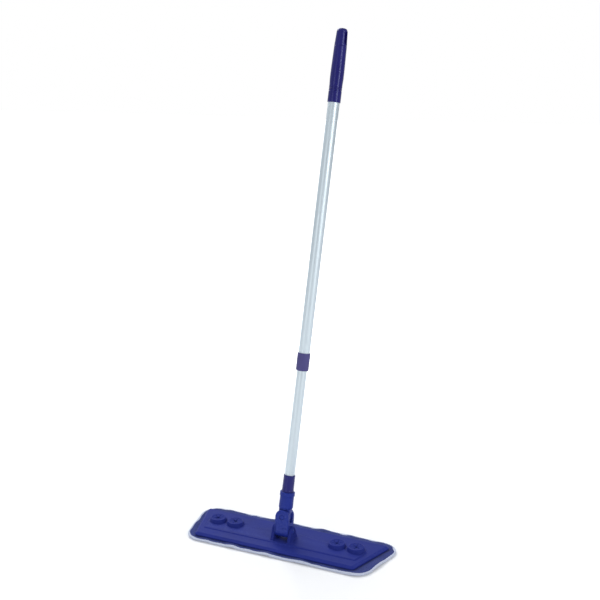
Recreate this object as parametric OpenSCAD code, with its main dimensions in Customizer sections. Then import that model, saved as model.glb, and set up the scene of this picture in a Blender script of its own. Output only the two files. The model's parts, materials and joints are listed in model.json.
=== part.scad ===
// Flat mop: a trapezoid microfibre pad on a moulded plate, a universal joint
// and a telescopic aluminium pole. Millimetres, +Z up, floor at z = 0.
// Origin: centre of the plate, projected on the floor. X runs along the pad.

/* [Pad] */
// Length of the pad's long edge
pad_long = 439; // [420:1:480]
// Length of the pad's short edge
pad_short = 378; // [370:1:420]
// Width of the pad, from short edge to long edge
pad_depth = 143; // [140:1:160]
// Radius of the pad's corners
pad_corner_r = 35; // [25:1:40]
// Shift of the pad from the plate, along X and Y
pad_shift = [3.5, 5]; // [0:0.5:6]
// Width of the binding tape
binding_w = 6; // [5:0.5:8]

/* [Plate] */
// Length of the plate's long edge
plate_long = 404; // [398:1:408]
// Length of the plate's short edge
plate_short = 337; // [333:1:341]
// Width of the plate
plate_depth = 112; // [110:1:116]
// Width of the hook strips under the plate
strip_w = 20; // [15:1:22]

/* [Cloth grips] */
// Diameter of the boss that holds a grip, at its top
boss_d = 31; // [30:0.5:33]
// Diameter of the boss at its foot
boss_base_d = 37; // [35:0.5:38]
// Distance of the inner bosses from the middle of the plate
boss_x_inner = 110; // [105:1:112]
// Distance of the outer bosses from the middle of the plate
boss_x_outer = 149.5; // [148:0.5:152]

/* [Joint] */
// Shift of the joint from the middle of the plate, along X and Y
joint_shift = [4, -8]; // [-8:1:8]
// Lean of the pole towards the long edge, from upright
lean_back = 10; // [0:1:20]
// Lean of the pole along the pad, from upright
lean_side = 2.7; // [0:0.1:10]
// Height of the lower pin above the floor
lower_pin_z = 32.5; // [31.5:0.5:35]
// Distance between the lower and the upper pin
pin_gap = 27; // [26:0.5:30]
// Diameter of the lower pin
lower_pin_d = 5; // [4:0.5:6]
// Diameter of the upper pin
upper_pin_d = 6; // [5:0.5:7]

/* [Pole] */
// Outer diameter of the lower tube
inner_tube_d = 19; // [18.5:0.1:19]
// Outer diameter of the upper tube
outer_tube_d = 22; // [22:0.1:22.4]
// Wall of both tubes
tube_wall = 0.9; // [0.8:0.05:1]
// Length of the lower tube
lower_tube_len = 599; // [560:1:620]
// Distance from the upper pin to the mouth of the upper pole
collar_start = 286.5; // [240:0.5:420]
// Length of the upper tube
upper_tube_len = 598; // [580:1:620]
// Length of the hand grip, without its cap
grip_len = 103.5; // [90:0.5:130]

/* [Hidden] */

$fn = 96;
corner_steps = 12;
eps = 0.01;
running_gap = 0.05;
side_gap = 0.25;

// Heights of the pad's layers
pile_top = 3;
core_top = 4.2;
pad_top = 5.5;
binding_bottom = 0.4;
binding_top = 4.6;

// Heights of the plate
plate_bottom = 6.3;
rim_top = 9.5;
plate_top = 12.5;
spine_top = 14.5;
boss_top = 22;
plate_corner_r = 8;
bevel_inset = 5;
pocket_roof = 9.9;
strip_bottom = 5.6;
strip_top = 7.1;
strip_len = 300;
strip_y = [-39, 41];

// Raised spine that carries the joint and the bosses
spine_front = -32;
spine_back = 14;
spine_back_mid = 21;
spine_front_half = 163;
spine_back_half = 173;
spine_mid_half = 34;
spine_flare_half = 58;
spine_inset = 1.6;

// Bosses and the slit discs in them
boss_y = 6;
disc_r = 12.6;
disc_bottom = 19;
disc_top = 21.5;
cloth_pocket_r = 10.4;
cloth_pocket_floor = 8.5;
slit_w = 1.2;
slit_len = 18;

// Lugs of the plate and the knuckle between them
knuckle_w = 28.5;
knuckle_d = 27;
ear_gap = 13.5;
tongue_room = 11.7;
slot_floor = pin_gap - tongue_room;
lug_gap = knuckle_w + 2 * side_gap;
lug_t = 6.4;
lug_outer = lug_gap / 2 + lug_t;
lug_r = 9.5;
lug_taper = 22;
pin_head_t = 1.6;
pin_head_r = 5;
head_seat = 1.2;
push_nut_t = 0.8;
pin_reach = 2;

// Pockets between the ribs under the plate
rib_t = 2.4;
rib_rows = [[-24, -2], [0.4, 22]];
rib_columns = 12;
rib_half = 166;

// Radii of the socket, and distances along the pole from the upper pin
neck_r = 11.5;
neck_start = 14.9;
shoulder_start = 16.6;
body_r = 13.8;
rim_r = 14.5;
rim_start = 40.4;
socket_floor = 22;
socket_top = 49;
socket_bore_r = 9;
tongue_r = 11.3;
tongue_t = ear_gap - 2 * side_gap;
spigot_start = 24;
spigot_bore_r = 6;
ferrule_foot_r = 11.7;
ferrule_top_r = 11.1;
ferrule_top = 82;
lower_tube_start = 52;
lower_tube_end = lower_tube_start + lower_tube_len;
rivet_at = 69;
rivet_r = 1.6;
rivet_head_r = 3;
rivet_seat = 10.6;
collar_len = 34;
bush_flange_at = collar_start + 10.5;
upper_tube_start = collar_start + 12;
upper_tube_end = upper_tube_start + upper_tube_len;
grip_start = upper_tube_end + 0.5 - grip_len;
inner_tube_r = inner_tube_d / 2;
outer_tube_r = outer_tube_d / 2;
inner_bore_r = inner_tube_r - tube_wall;
outer_bore_r = outer_tube_r - tube_wall;

// Colours
plate_blue = [0.20, 0.24, 0.56];
joint_blue = [0.17, 0.23, 0.52];
navy = [0.15, 0.14, 0.42];
collar_blue = [0.34, 0.32, 0.54];
satin_aluminium = [0.76, 0.80, 0.85];
steel = [0.62, 0.63, 0.66];
nylon = [0.90, 0.90, 0.88];
hook_tape = [0.13, 0.14, 0.22];
backing_blue = [0.34, 0.38, 0.58];
tape_grey = [0.74, 0.77, 0.84];
pile_blue = [0.30, 0.40, 0.66];
foam_white = [0.86, 0.87, 0.88];

// ---------- shared shapes ----------

// Centre of the circle that rounds corner b, between its neighbours a and c
function unit(v) = v / norm(v);
function round_centre(a, b, c, r) =
    let (
        u = unit(a - b),
        v = unit(c - b),
        half = acos(u * v) / 2
    )
    b + unit(u + v) * r / sin(half);

// Points of the arc of radius r that rounds corner b of a convex
// counter-clockwise outline
function round_corner(a, b, c, r) =
    let (
        m = round_centre(a, b, c, r),
        u = unit(b - a),
        v = unit(c - b),
        start = atan2(-u[0], u[1]),
        turn = acos(u * v)
    )
    [for (i = [0:corner_steps])
        let (t = start + turn * i / corner_steps)
        m + r * [cos(t), sin(t)]];

function rounded_outline(p, r) =
    [for (i = [0:len(p) - 1])
        each round_corner(p[(i + len(p) - 1) % len(p)], p[i], p[(i + 1) % len(p)], r)];

// Trapezoid, short edge towards -Y, moved in by inset on every side
function trapezoid(long_edge, short_edge, depth, inset) =
    let (
        slope = (long_edge - short_edge) / 2 / depth,
        side = inset * sqrt(1 + slope * slope),
        y = depth / 2 - inset,
        mid = (long_edge + short_edge) / 4 - side
    )
    [[-mid + slope * y, -y], [mid - slope * y, -y],
     [mid + slope * y, y], [-mid - slope * y, y]];

module pad_layer(inset, bottom, top) {
    corners = trapezoid(pad_long, pad_short, pad_depth, inset);
    translate([pad_shift[0], pad_shift[1], bottom])
        linear_extrude(top - bottom)
            polygon(rounded_outline(corners, pad_corner_r - inset));
}

module plate_layer(inset, bottom, top) {
    corners = trapezoid(plate_long, plate_short, plate_depth, inset);
    translate([0, 0, bottom])
        linear_extrude(top - bottom)
            polygon(rounded_outline(corners, plate_corner_r - inset));
}

// Frame of the lower pin
module at_lower_pin() {
    translate([joint_shift[0], joint_shift[1], lower_pin_z])
        children();
}

// Frame of the knuckle: origin on the lower pin, Z towards the upper pin
module at_knuckle() {
    at_lower_pin()
        rotate([-lean_back, 0, 0])
            children();
}

// Frame of the pole: origin on the upper pin, Z along the pole
module at_pole() {
    at_knuckle()
        translate([0, 0, pin_gap])
            rotate([0, lean_side, 0])
                children();
}

module x_cylinder(r, from, to) {
    translate([from, 0, 0])
        rotate([0, 90, 0])
            cylinder(r = r, h = to - from);
}

module y_cylinder(r, from, to) {
    translate([0, from, 0])
        rotate([-90, 0, 0])
            cylinder(r = r, h = to - from);
}

module tube(outer_r, inner_r, from, to) {
    translate([0, 0, from])
        difference() {
            cylinder(r = outer_r, h = to - from);
            translate([0, 0, -1])
                cylinder(r = inner_r, h = to - from + 2);
        }
}

// ---------- pad ----------

module pad_pile() {
    color(pile_blue)
        pad_layer(binding_w, 0, pile_top);
}

module pad_core() {
    color(foam_white)
        pad_layer(binding_w, pile_top, core_top);
}

module pad_backing() {
    color(backing_blue)
        pad_layer(binding_w, core_top, pad_top);
}

module pad_binding() {
    color(tape_grey)
        difference() {
            pad_layer(0, binding_bottom, binding_top);
            pad_layer(binding_w, binding_bottom - 1, binding_top + 1);
        }
}

// ---------- plate ----------

function spine_outline(inset) = [
    [-spine_front_half + inset, spine_front + inset],
    [spine_front_half - inset, spine_front + inset],
    [spine_back_half - inset, spine_back - inset],
    [spine_flare_half - inset, spine_back - inset],
    [spine_mid_half - inset, spine_back_mid - inset],
    [-spine_mid_half + inset, spine_back_mid - inset],
    [-spine_flare_half + inset, spine_back - inset],
    [-spine_back_half + inset, spine_back - inset]
];

// Side view of a lug about the lower pin
module lug_profile() {
    side_r = lug_r - 0.03;
    reach = side_r * cos(lug_taper);
    rise = side_r * sin(lug_taper);
    drop = lower_pin_z - plate_top;
    foot = reach + (rise + drop) * tan(lug_taper);
    circle(r = lug_r);
    polygon([[-foot, -drop], [foot, -drop], [reach, rise], [-reach, rise]]);
}

module lug(inner_x) {
    at_lower_pin()
        translate([inner_x, 0, 0])
            rotate([90, 0, 90])
                linear_extrude(lug_t)
                    lug_profile();
}

// Pockets between the ribs on the underside, in rows along X
module rib_pockets() {
    pitch = 2 * rib_half / rib_columns;
    for (i = [0:rib_columns - 1])
        for (row = rib_rows)
            translate([-rib_half + i * pitch + rib_t / 2, row[0], plate_bottom - 1])
                cube([pitch - rib_t, row[1] - row[0], pocket_roof - plate_bottom + 1]);
}

module boss_positions() {
    for (x = [-boss_x_outer, -boss_x_inner, boss_x_inner, boss_x_outer])
        translate([x, boss_y, 0])
            children();
}

module plate() {
    color(plate_blue)
        difference() {
            union() {
                plate_layer(0, plate_bottom, rim_top);
                plate_layer(bevel_inset / 2, rim_top, (rim_top + plate_top) / 2);
                plate_layer(bevel_inset, (rim_top + plate_top) / 2, plate_top);
                translate([0, 0, plate_top - eps])
                    linear_extrude(spine_top - plate_top + eps)
                        polygon(spine_outline(spine_inset));
                boss_positions() {
                    translate([0, 0, plate_top])
                        cylinder(d = boss_base_d, h = spine_top - plate_top);
                    translate([0, 0, spine_top])
                        cylinder(d1 = boss_base_d, d2 = boss_d, h = boss_top - spine_top);
                }
                lug(lug_gap / 2);
                lug(-lug_outer);
            }
            difference() {
                rib_pockets();
                boss_positions()
                    translate([0, 0, plate_bottom - 1])
                        cylinder(d = boss_base_d, h = boss_top);
            }
            boss_positions() {
                translate([0, 0, disc_bottom])
                    cylinder(r = disc_r, h = boss_top);
                translate([0, 0, cloth_pocket_floor])
                    cylinder(r = cloth_pocket_r, h = boss_top);
            }
            for (y = strip_y)
                translate([-strip_len / 2, y - strip_w / 2, plate_bottom - 1])
                    cube([strip_len, strip_w, strip_top - plate_bottom + 1]);
            at_lower_pin() {
                x_cylinder(lower_pin_d / 2, -lug_outer - 1, lug_outer + 1);
                x_cylinder(pin_head_r, lug_outer - head_seat, lug_outer + 1);
            }
        }
}

module hook_strip(y) {
    color(hook_tape)
        translate([-strip_len / 2, y - strip_w / 2, strip_bottom])
            cube([strip_len, strip_w, strip_top - strip_bottom]);
}

// Soft disc with three slits that cross at its centre
module cloth_grip(x) {
    color(joint_blue)
        translate([x, boss_y, disc_bottom])
            difference() {
                cylinder(r = disc_r, h = disc_top - disc_bottom);
                for (turn = [0:60:120])
                    rotate(turn)
                        translate([-slit_len / 2, -slit_w / 2, -1])
                            cube([slit_len, slit_w, disc_top - disc_bottom + 2]);
            }
}

// ---------- universal joint ----------

module lower_pin() {
    color(joint_blue)
        at_lower_pin() {
            x_cylinder(lower_pin_d / 2, -lug_outer - pin_reach, lug_outer - head_seat);
            x_cylinder(pin_head_r - 0.5, lug_outer - head_seat, lug_outer - head_seat + pin_head_t);
        }
}

module lower_push_nut() {
    color(steel)
        at_lower_pin()
            difference() {
                x_cylinder(pin_head_r, -lug_outer - push_nut_t, -lug_outer);
                x_cylinder(lower_pin_d / 2, -lug_outer - pin_reach, -lug_outer + 1);
            }
}

module knuckle() {
    half_w = knuckle_w / 2;
    half_d = knuckle_d / 2;
    color(joint_blue)
        at_knuckle()
            difference() {
                union() {
                    x_cylinder(half_d, -half_w, half_w);
                    translate([-half_w, -half_d, 0])
                        cube([knuckle_w, knuckle_d, pin_gap]);
                    translate([0, 0, pin_gap])
                        y_cylinder(half_w, -half_d, half_d);
                }
                translate([-half_w - 1, -ear_gap / 2, slot_floor])
                    cube([knuckle_w + 2, ear_gap, pin_gap + knuckle_w]);
                x_cylinder(lower_pin_d / 2 + running_gap, -half_w - 1, half_w + 1);
                translate([0, 0, pin_gap]) {
                    y_cylinder(upper_pin_d / 2, -half_d - 1, half_d + 1);
                    y_cylinder(pin_head_r + 0.4, -half_d - 1, -half_d + pin_head_t);
                }
            }
}

module upper_pin() {
    half_d = knuckle_d / 2;
    color(joint_blue)
        at_knuckle()
            translate([0, 0, pin_gap]) {
                y_cylinder(upper_pin_d / 2, -half_d + pin_head_t, half_d + 1.8);
                y_cylinder(pin_head_r, -half_d - 0.4, -half_d + pin_head_t);
            }
}

module upper_push_nut() {
    half_d = knuckle_d / 2;
    color(steel)
        at_knuckle()
            translate([0, 0, pin_gap])
                difference() {
                    y_cylinder(pin_head_r + 0.4, half_d, half_d + push_nut_t);
                    y_cylinder(upper_pin_d / 2, half_d - 1, half_d + 2);
                }
}

// ---------- lower pole ----------

module socket() {
    color(joint_blue)
        at_pole()
            difference() {
                union() {
                    rotate_extrude()
                        polygon([
                            [0, neck_start], [neck_r, neck_start], [neck_r, shoulder_start],
                            [body_r, shoulder_start + 1], [body_r - 0.3, rim_start],
                            [rim_r, rim_start + 1], [rim_r, socket_top - 1],
                            [rim_r - 1, socket_top],
                            [socket_bore_r, socket_top], [socket_bore_r, socket_floor],
                            [0, socket_floor]
                        ]);
                    y_cylinder(tongue_r, -tongue_t / 2, tongue_t / 2);
                    translate([-tongue_r, -tongue_t / 2, 0])
                        cube([2 * tongue_r, tongue_t, neck_start + 2]);
                }
                y_cylinder(upper_pin_d / 2 + running_gap, -tongue_t, tongue_t);
            }
}

module ferrule() {
    color(navy)
        at_pole()
            difference() {
                rotate_extrude()
                    polygon([
                        [spigot_bore_r, spigot_start], [socket_bore_r, spigot_start],
                        [socket_bore_r, socket_top], [ferrule_foot_r - 0.4, socket_top],
                        [ferrule_foot_r, socket_top + 0.6], [ferrule_top_r, ferrule_top - 0.6],
                        [ferrule_top_r - 0.4, ferrule_top], [inner_tube_r, ferrule_top],
                        [inner_tube_r, lower_tube_start], [spigot_bore_r, lower_tube_start]
                    ]);
                translate([0, 0, rivet_at]) {
                    y_cylinder(rivet_r, 6, 14);
                    y_cylinder(rivet_head_r + 0.1, rivet_seat, 14);
                }
            }
}

module ferrule_rivet() {
    color(steel)
        at_pole()
            translate([0, 0, rivet_at]) {
                y_cylinder(rivet_r, rivet_seat - 3, rivet_seat);
                y_cylinder(rivet_head_r, rivet_seat, rivet_seat + 0.8);
            }
}

module lower_tube() {
    color(satin_aluminium)
        at_pole()
            difference() {
                tube(inner_tube_r, inner_bore_r, lower_tube_start, lower_tube_end);
                translate([0, 0, rivet_at])
                    y_cylinder(rivet_r, 6, 14);
            }
}

// Plug in the top of the lower tube, with an off-centre journal for the lock ring
module lock_spindle() {
    plug_len = 20;
    flange_t = 2;
    journal_len = 16.6;
    journal_r = 4;
    journal_offset = 1;
    color(nylon)
        at_pole()
            translate([0, 0, lower_tube_end]) {
                translate([0, 0, -plug_len])
                    cylinder(r = inner_bore_r, h = plug_len);
                cylinder(r = inner_tube_r - 0.1, h = flange_t);
                translate([journal_offset, 0, flange_t])
                    cylinder(r = journal_r, h = journal_len);
                translate([0, 0, flange_t + journal_len])
                    cylinder(r = inner_tube_r - 0.5, h = 3.4);
            }
}

// ---------- lock ring, turned by the upper tube ----------

module lock_ring() {
    ring_len = 16;
    ring_bore_r = 5.3;
    slit = 2;
    color(nylon)
        at_pole()
            translate([0, 0, lower_tube_end + 2.3])
                difference() {
                    cylinder(r = outer_bore_r - running_gap, h = ring_len);
                    translate([0, 0, -1])
                        cylinder(r = ring_bore_r, h = ring_len + 2);
                    translate([-outer_tube_r, -slit / 2, -1])
                        cube([outer_tube_r, slit, ring_len + 2]);
                }
}

// ---------- upper pole ----------

module upper_tube() {
    color(satin_aluminium)
        at_pole()
            tube(outer_tube_r, outer_bore_r, upper_tube_start, upper_tube_end);
}

module lock_collar() {
    outer_r = 12.3;
    mouth_r = inner_tube_r + 0.4;
    chamfer = 1.4;
    end = collar_start + collar_len;
    color(collar_blue)
        at_pole()
            rotate_extrude()
                polygon([
                    [mouth_r, collar_start], [outer_r - chamfer, collar_start],
                    [outer_r, collar_start + chamfer], [outer_r, end - 0.5],
                    [outer_r - 0.5, end], [outer_tube_r, end],
                    [outer_tube_r, bush_flange_at], [mouth_r, bush_flange_at]
                ]);
}

module guide_bush() {
    color(nylon)
        at_pole() {
            tube(outer_tube_r, inner_tube_r + running_gap, bush_flange_at, upper_tube_start);
            tube(outer_bore_r, inner_tube_r + running_gap, upper_tube_start, upper_tube_start + 24);
        }
}

module grip() {
    cuff_r = 12.3;
    groove_r = 11.8;
    ring = 1.4;
    rings_at = grip_start + 21;
    top = upper_tube_end + 0.5;
    rings = [for (i = [0:2]) each [
        [groove_r, rings_at + 2 * i * ring], [groove_r, rings_at + (2 * i + 0.8) * ring],
        [cuff_r, rings_at + (2 * i + 1) * ring], [cuff_r, rings_at + (2 * i + 1.8) * ring]
    ]];
    color(navy)
        at_pole()
            rotate_extrude()
                polygon(concat(
                    [[outer_tube_r, grip_start], [cuff_r - 0.6, grip_start], [cuff_r, grip_start + 0.6],
                     [cuff_r, rings_at - 0.3]],
                    rings,
                    [[12.75, grip_start + 42], [12.7, grip_start + 62],
                     [12.2, grip_start + 84], [11.8, top], [outer_tube_r, top]]
                ));
}

module hang_cap() {
    seat = upper_tube_end + 0.5;
    slot_r = 6;
    slot_low = seat + 9;
    slot_high = seat + 21;
    color(navy)
        at_pole()
            difference() {
                rotate_extrude()
                    polygon([
                        [8, seat - 25], [outer_bore_r, seat - 25], [outer_bore_r, seat],
                        [11.6, seat], [11.7, seat + 0.6], [11.4, seat + 8], [10.9, seat + 18],
                        [10.4, seat + 25], [9.3, seat + 29], [7, seat + 31.2], [4, seat + 32],
                        [0, seat + 32.3], [0, seat - 4], [8, seat - 4]
                    ]);
                for (z = [slot_low, slot_high])
                    translate([0, 0, z])
                        x_cylinder(slot_r, -15, 15);
                translate([-15, -slot_r, slot_low])
                    cube([30, 2 * slot_r, slot_high - slot_low]);
            }
}

pad_pile();
pad_core();
pad_backing();
pad_binding();
plate();
hook_strip(strip_y[0]);  // hook_strip_front
hook_strip(strip_y[1]);  // hook_strip_back
cloth_grip(-boss_x_outer);  // cloth_grip_left_outer
cloth_grip(-boss_x_inner);  // cloth_grip_left_inner
cloth_grip(boss_x_inner);  // cloth_grip_right_inner
cloth_grip(boss_x_outer);  // cloth_grip_right_outer
lower_pin();
lower_push_nut();
knuckle();
upper_pin();
upper_push_nut();
socket();
ferrule();
ferrule_rivet();
lower_tube();
lock_spindle();
lock_ring();
upper_tube();
lock_collar();
guide_bush();
grip();
hang_cap();
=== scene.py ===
"""Flat mop: the finished pieces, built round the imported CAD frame.

Lengths are in metres, in the part's frame: X runs along the pad, Y towards the
pad's long edge, Z up from the floor. Each sub-assembly is a class that measures
its place on the CAD nodes, works its surfaces out as numpy arrays and dresses
them. Each finish is a frozen dataclass that builds one procedural material.
"""

import json
import logging
import math
from dataclasses import dataclass
from enum import Enum
from functools import cache, cached_property
from typing import Sequence

import bmesh
import bpy
import numpy as np
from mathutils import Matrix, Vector


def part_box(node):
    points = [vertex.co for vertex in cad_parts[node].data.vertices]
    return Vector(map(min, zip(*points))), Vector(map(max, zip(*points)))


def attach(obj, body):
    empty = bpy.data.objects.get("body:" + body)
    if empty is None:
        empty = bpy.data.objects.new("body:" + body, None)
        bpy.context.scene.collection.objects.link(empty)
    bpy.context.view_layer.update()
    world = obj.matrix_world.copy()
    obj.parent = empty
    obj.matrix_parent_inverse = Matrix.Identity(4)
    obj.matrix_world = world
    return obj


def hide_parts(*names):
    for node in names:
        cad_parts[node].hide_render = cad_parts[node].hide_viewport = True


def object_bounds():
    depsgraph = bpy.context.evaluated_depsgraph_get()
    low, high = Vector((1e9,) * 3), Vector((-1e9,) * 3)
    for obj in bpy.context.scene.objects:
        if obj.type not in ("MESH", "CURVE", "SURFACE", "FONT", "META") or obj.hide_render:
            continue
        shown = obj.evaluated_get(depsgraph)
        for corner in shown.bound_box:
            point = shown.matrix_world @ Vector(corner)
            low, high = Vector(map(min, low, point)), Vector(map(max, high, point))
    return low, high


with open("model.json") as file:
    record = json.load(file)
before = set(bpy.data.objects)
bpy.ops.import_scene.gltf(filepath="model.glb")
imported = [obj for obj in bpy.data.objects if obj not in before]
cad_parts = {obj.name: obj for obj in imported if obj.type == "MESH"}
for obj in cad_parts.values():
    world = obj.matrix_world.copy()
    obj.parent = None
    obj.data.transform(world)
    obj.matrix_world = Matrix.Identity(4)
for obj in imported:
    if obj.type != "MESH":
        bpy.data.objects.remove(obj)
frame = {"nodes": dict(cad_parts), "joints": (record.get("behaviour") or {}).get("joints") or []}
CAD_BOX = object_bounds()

Array = np.ndarray
Colour = tuple[float, float, float]
TAU = 2 * math.pi
MM = 0.001
WELD = 2e-6
log = logging.getLogger("flat_mop")


# ---------------------------------------------------------------------------
# Surfaces
# ---------------------------------------------------------------------------


@dataclass
class Surface:
    """Points, faces and the faces' UV corners, before they become a mesh.

    Attributes:
        points: Array (n, 3) of places.
        faces: Arrays (m, k) of point numbers, one array for each face size k.
        uvs: Arrays (m, k, 2) of UV corners in metres, one for each faces array.
    """

    points: Array
    faces: list[Array]
    uvs: list[Array]

    def volume(self) -> float:
        """Signed volume: the sum of the tetrahedra from the origin to each face's fan."""
        total = 0.0
        for face in self.faces:
            corner = self.points[face]
            first = corner[:, :1]
            fan = np.cross(corner[:, 1:-1] - first, corner[:, 2:] - first)
            total += float((fan * first).sum()) / 6
        return total

    def outward(self) -> "Surface":
        """The same surface, turned so that a closed shell's faces point out."""
        if self.volume() < 0:
            self.faces = [f[:, ::-1] for f in self.faces]
            self.uvs = [u[:, ::-1] for u in self.uvs]
        return self


@dataclass(frozen=True)
class Axes:
    """A local frame within the part's, such as the pole's.

    Attributes:
        origin: Place of the local origin.
        x: Unit vector of the local X axis.
        y: Unit vector of the local Y axis.
        z: Unit vector of the local Z axis.
    """

    origin: Array
    x: Array
    y: Array
    z: Array

    def place(self, local: Array) -> Array:
        """Local coordinates (..., 3) as places in the part's frame."""
        return self.origin + local @ np.stack([self.x, self.y, self.z])

    def span(self, node: str) -> tuple[float, float]:
        """Lowest and highest point of a CAD node along the local Z axis."""
        along = (cad_points(node) - self.origin) @ self.z
        return float(along.min()), float(along.max())

    def reach(self, node: str) -> float:
        """Largest distance of a CAD node's points from the local Z axis."""
        offset = cad_points(node) - self.origin
        return float(np.hypot(offset @ self.x, offset @ self.y).max())

    def turned(self, z: str, shift: float = 0.0) -> "Axes":
        """The frame whose Z is this frame's x, y or z axis, moved along it by shift."""
        order = {"x": (self.y, self.z, self.x), "y": (self.z, self.x, self.y), "z": (self.x, self.y, self.z)}
        first, second, third = order[z]
        return Axes(self.origin + third * shift, first, second, third)


PART = Axes(np.zeros(3), *np.eye(3))


def mesh_points(mesh: bpy.types.Mesh) -> Array:
    """Vertices (n, 3) of a mesh."""
    co = np.empty(len(mesh.vertices) * 3, np.float32)
    mesh.vertices.foreach_get("co", co)
    return co.reshape(-1, 3).astype(float)


def cad_points(node: str) -> Array:
    """Vertices (n, 3) of a CAD node at rest."""
    return mesh_points(frame["nodes"][node].data)


def upright(centre: Array) -> Axes:
    """The part's directions about a vertical axis through a centre."""
    return Axes(np.array([centre[0], centre[1], 0.0]), *np.eye(3))


def joint(name: str) -> dict:
    """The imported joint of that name."""
    return next(j for j in frame["joints"] if j["name"] == name)


def unit(v: Array) -> Array:
    """Vectors scaled to length 1 along the last axis."""
    return v / np.maximum(np.linalg.norm(v, axis=-1, keepdims=True), 1e-12)


def smooth(t: Array) -> Array:
    """Smooth step: 0 below 0, 1 above 1, and 3t^2 - 2t^3 between."""
    t = np.clip(t, 0.0, 1.0)
    return t * t * (3 - 2 * t)


def filleted(corners: Sequence, radii: Sequence | float, steps: int = 5, closed: bool = True) -> Array:
    """A flat polygon or line with each corner rounded by an arc.

    An arc touches both sides at radius / tan(half the corner's angle) from the
    corner, and turns about a centre radius / sin(half angle) along the bisector.

    Args:
        corners: Points (n, 2).
        radii: One radius, or one for each corner.
        steps: Pieces in each arc.
        closed: Whether the last point joins the first; an open line keeps its ends.

    Returns:
        Points (m, 2).
    """
    at = np.asarray(corners, float)
    radius = np.maximum(np.broadcast_to(np.asarray(radii, float), (len(at),)), 1e-8)
    to_last, to_next = unit(np.roll(at, 1, 0) - at), unit(np.roll(at, -1, 0) - at)
    half = np.arccos(np.clip((to_last * to_next).sum(-1), -1, 1)) / 2
    centre = at + unit(to_last + to_next) * (radius / np.sin(half))[:, None]
    trim = (radius / np.tan(half))[:, None]
    start, end = at + to_last * trim - centre, at + to_next * trim - centre
    turn = np.maximum(np.pi - 2 * half, 1e-4)[:, None, None]
    s = np.linspace(0, 1, steps + 1)[None, :, None]
    arc = (np.sin((1 - s) * turn) * start[:, None] + np.sin(s * turn) * end[:, None]) / np.sin(turn)
    rounded = centre[:, None] + arc
    if closed:
        return rounded.reshape(-1, 2)
    return np.concatenate([at[:1], rounded[1:-1].reshape(-1, 2), at[-1:]])


def section(rows: Sequence, steps: int = 5, closed: bool = False) -> Array:
    """A filleted line or outline in metres, from rows of (x, y, fillet radius) in millimetres."""
    table = np.asarray(rows, float)
    return filleted(table[:, :2], table[:, 2], steps, closed) * MM


def trapezoid(front: float, back: float, depth: float) -> Array:
    """Corners of a trapezoid about the origin, counter-clockwise from the front left."""
    f, b, d = front / 2, back / 2, depth / 2
    return np.array([(-f, -d), (f, -d), (b, d), (-b, d)])


def inset_polygon(corners: Array, inset: float) -> Array:
    """A counter-clockwise polygon with every side moved inwards by inset."""
    before, after = np.roll(corners, 1, 0), np.roll(corners, -1, 0)
    side_in, side_out = unit(corners - before), unit(after - corners)
    normal_in = np.stack([-side_in[:, 1], side_in[:, 0]], -1)
    normal_out = np.stack([-side_out[:, 1], side_out[:, 0]], -1)
    bisector = normal_in + normal_out
    return corners + bisector * (2 * inset / (bisector**2).sum(-1, keepdims=True))


def rings_along_x(outline: Array, x: Array, insets: Array) -> Array:
    """Rings (k, n, 3) of a (y, z) outline, one for each place along X and inset."""
    return np.array([
        np.column_stack([np.full(len(outline), at), inset_polygon(outline, inset)])
        for at, inset in zip(x, insets)
    ])


def rounded_rings(corners: Array, radius: float, insets: Array, heights: Array, steps: int = 6) -> Array:
    """Rings of a rounded outline, one for each inset and height.

    A convex corner's arc shrinks with the inset, and a hollow corner's grows, so
    all rings stay parallel.

    Args:
        corners: Counter-clockwise outline (n, 2).
        radius: Corner radius at inset 0.
        insets: How far each ring lies inside the outline.
        heights: Z of each ring.
        steps: Pieces in each arc.

    Returns:
        Rings (k, m, 3).
    """
    before, after = corners - np.roll(corners, 1, 0), np.roll(corners, -1, 0) - corners
    bends_left = before[:, 0] * after[:, 1] - before[:, 1] * after[:, 0] > 0
    rings = []
    for inset, height in zip(insets, heights):
        radii = np.where(bends_left, radius - inset, radius + inset)
        flat = filleted(inset_polygon(corners, inset), np.maximum(radii, 2e-4), steps)
        rings.append(np.column_stack([flat, np.full(len(flat), height)]))
    return np.array(rings)


def loft(rings: Array, caps: bool = True, round_trip: bool = False) -> Surface:
    """Quads between neighbouring closed rings.

    UV runs round the ring in u and from ring to ring in v, both in metres, as the
    mean distance between neighbouring points.

    Args:
        rings: Array (k, n, 3).
        caps: Whether the first and last ring are closed by a face.
        round_trip: Whether the last ring joins the first, as in a torus.

    Returns:
        The surface, with its faces pointing out where it is closed.
    """
    count, size = rings.shape[:2]
    last = count if round_trip else count - 1
    row = np.arange(last)[:, None]
    col = np.arange(size)[None, :]
    row_next, col_next = (row + 1) % count, (col + 1) % size
    quads = np.stack(
        [row * size + col, row * size + col_next, row_next * size + col_next, row_next * size + col], -1
    ).reshape(-1, 4)
    step_u = np.linalg.norm(np.roll(rings, -1, 1) - rings, axis=-1).mean(0)
    step_v = np.linalg.norm(np.roll(rings, -1, 0) - rings, axis=-1).mean(1)
    u = np.concatenate([[0], np.cumsum(step_u)])
    v = np.concatenate([[0], np.cumsum(step_v)])
    ids_u = np.stack([col, col + 1, col + 1, col], -1)
    ids_v = np.stack([row, row, row + 1, row + 1], -1)
    uv = np.stack(np.broadcast_arrays(u[ids_u], v[ids_v]), -1).reshape(-1, 4, 2)
    faces, uvs = [quads], [uv]
    if caps and not round_trip:
        for ids in (np.arange(size)[::-1], np.arange(size) + (count - 1) * size):
            faces.append(ids[None])
            uvs.append(rings.reshape(-1, 3)[ids][None, :, :2])
    return Surface(rings.reshape(-1, 3), faces, uvs).outward()


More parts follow.
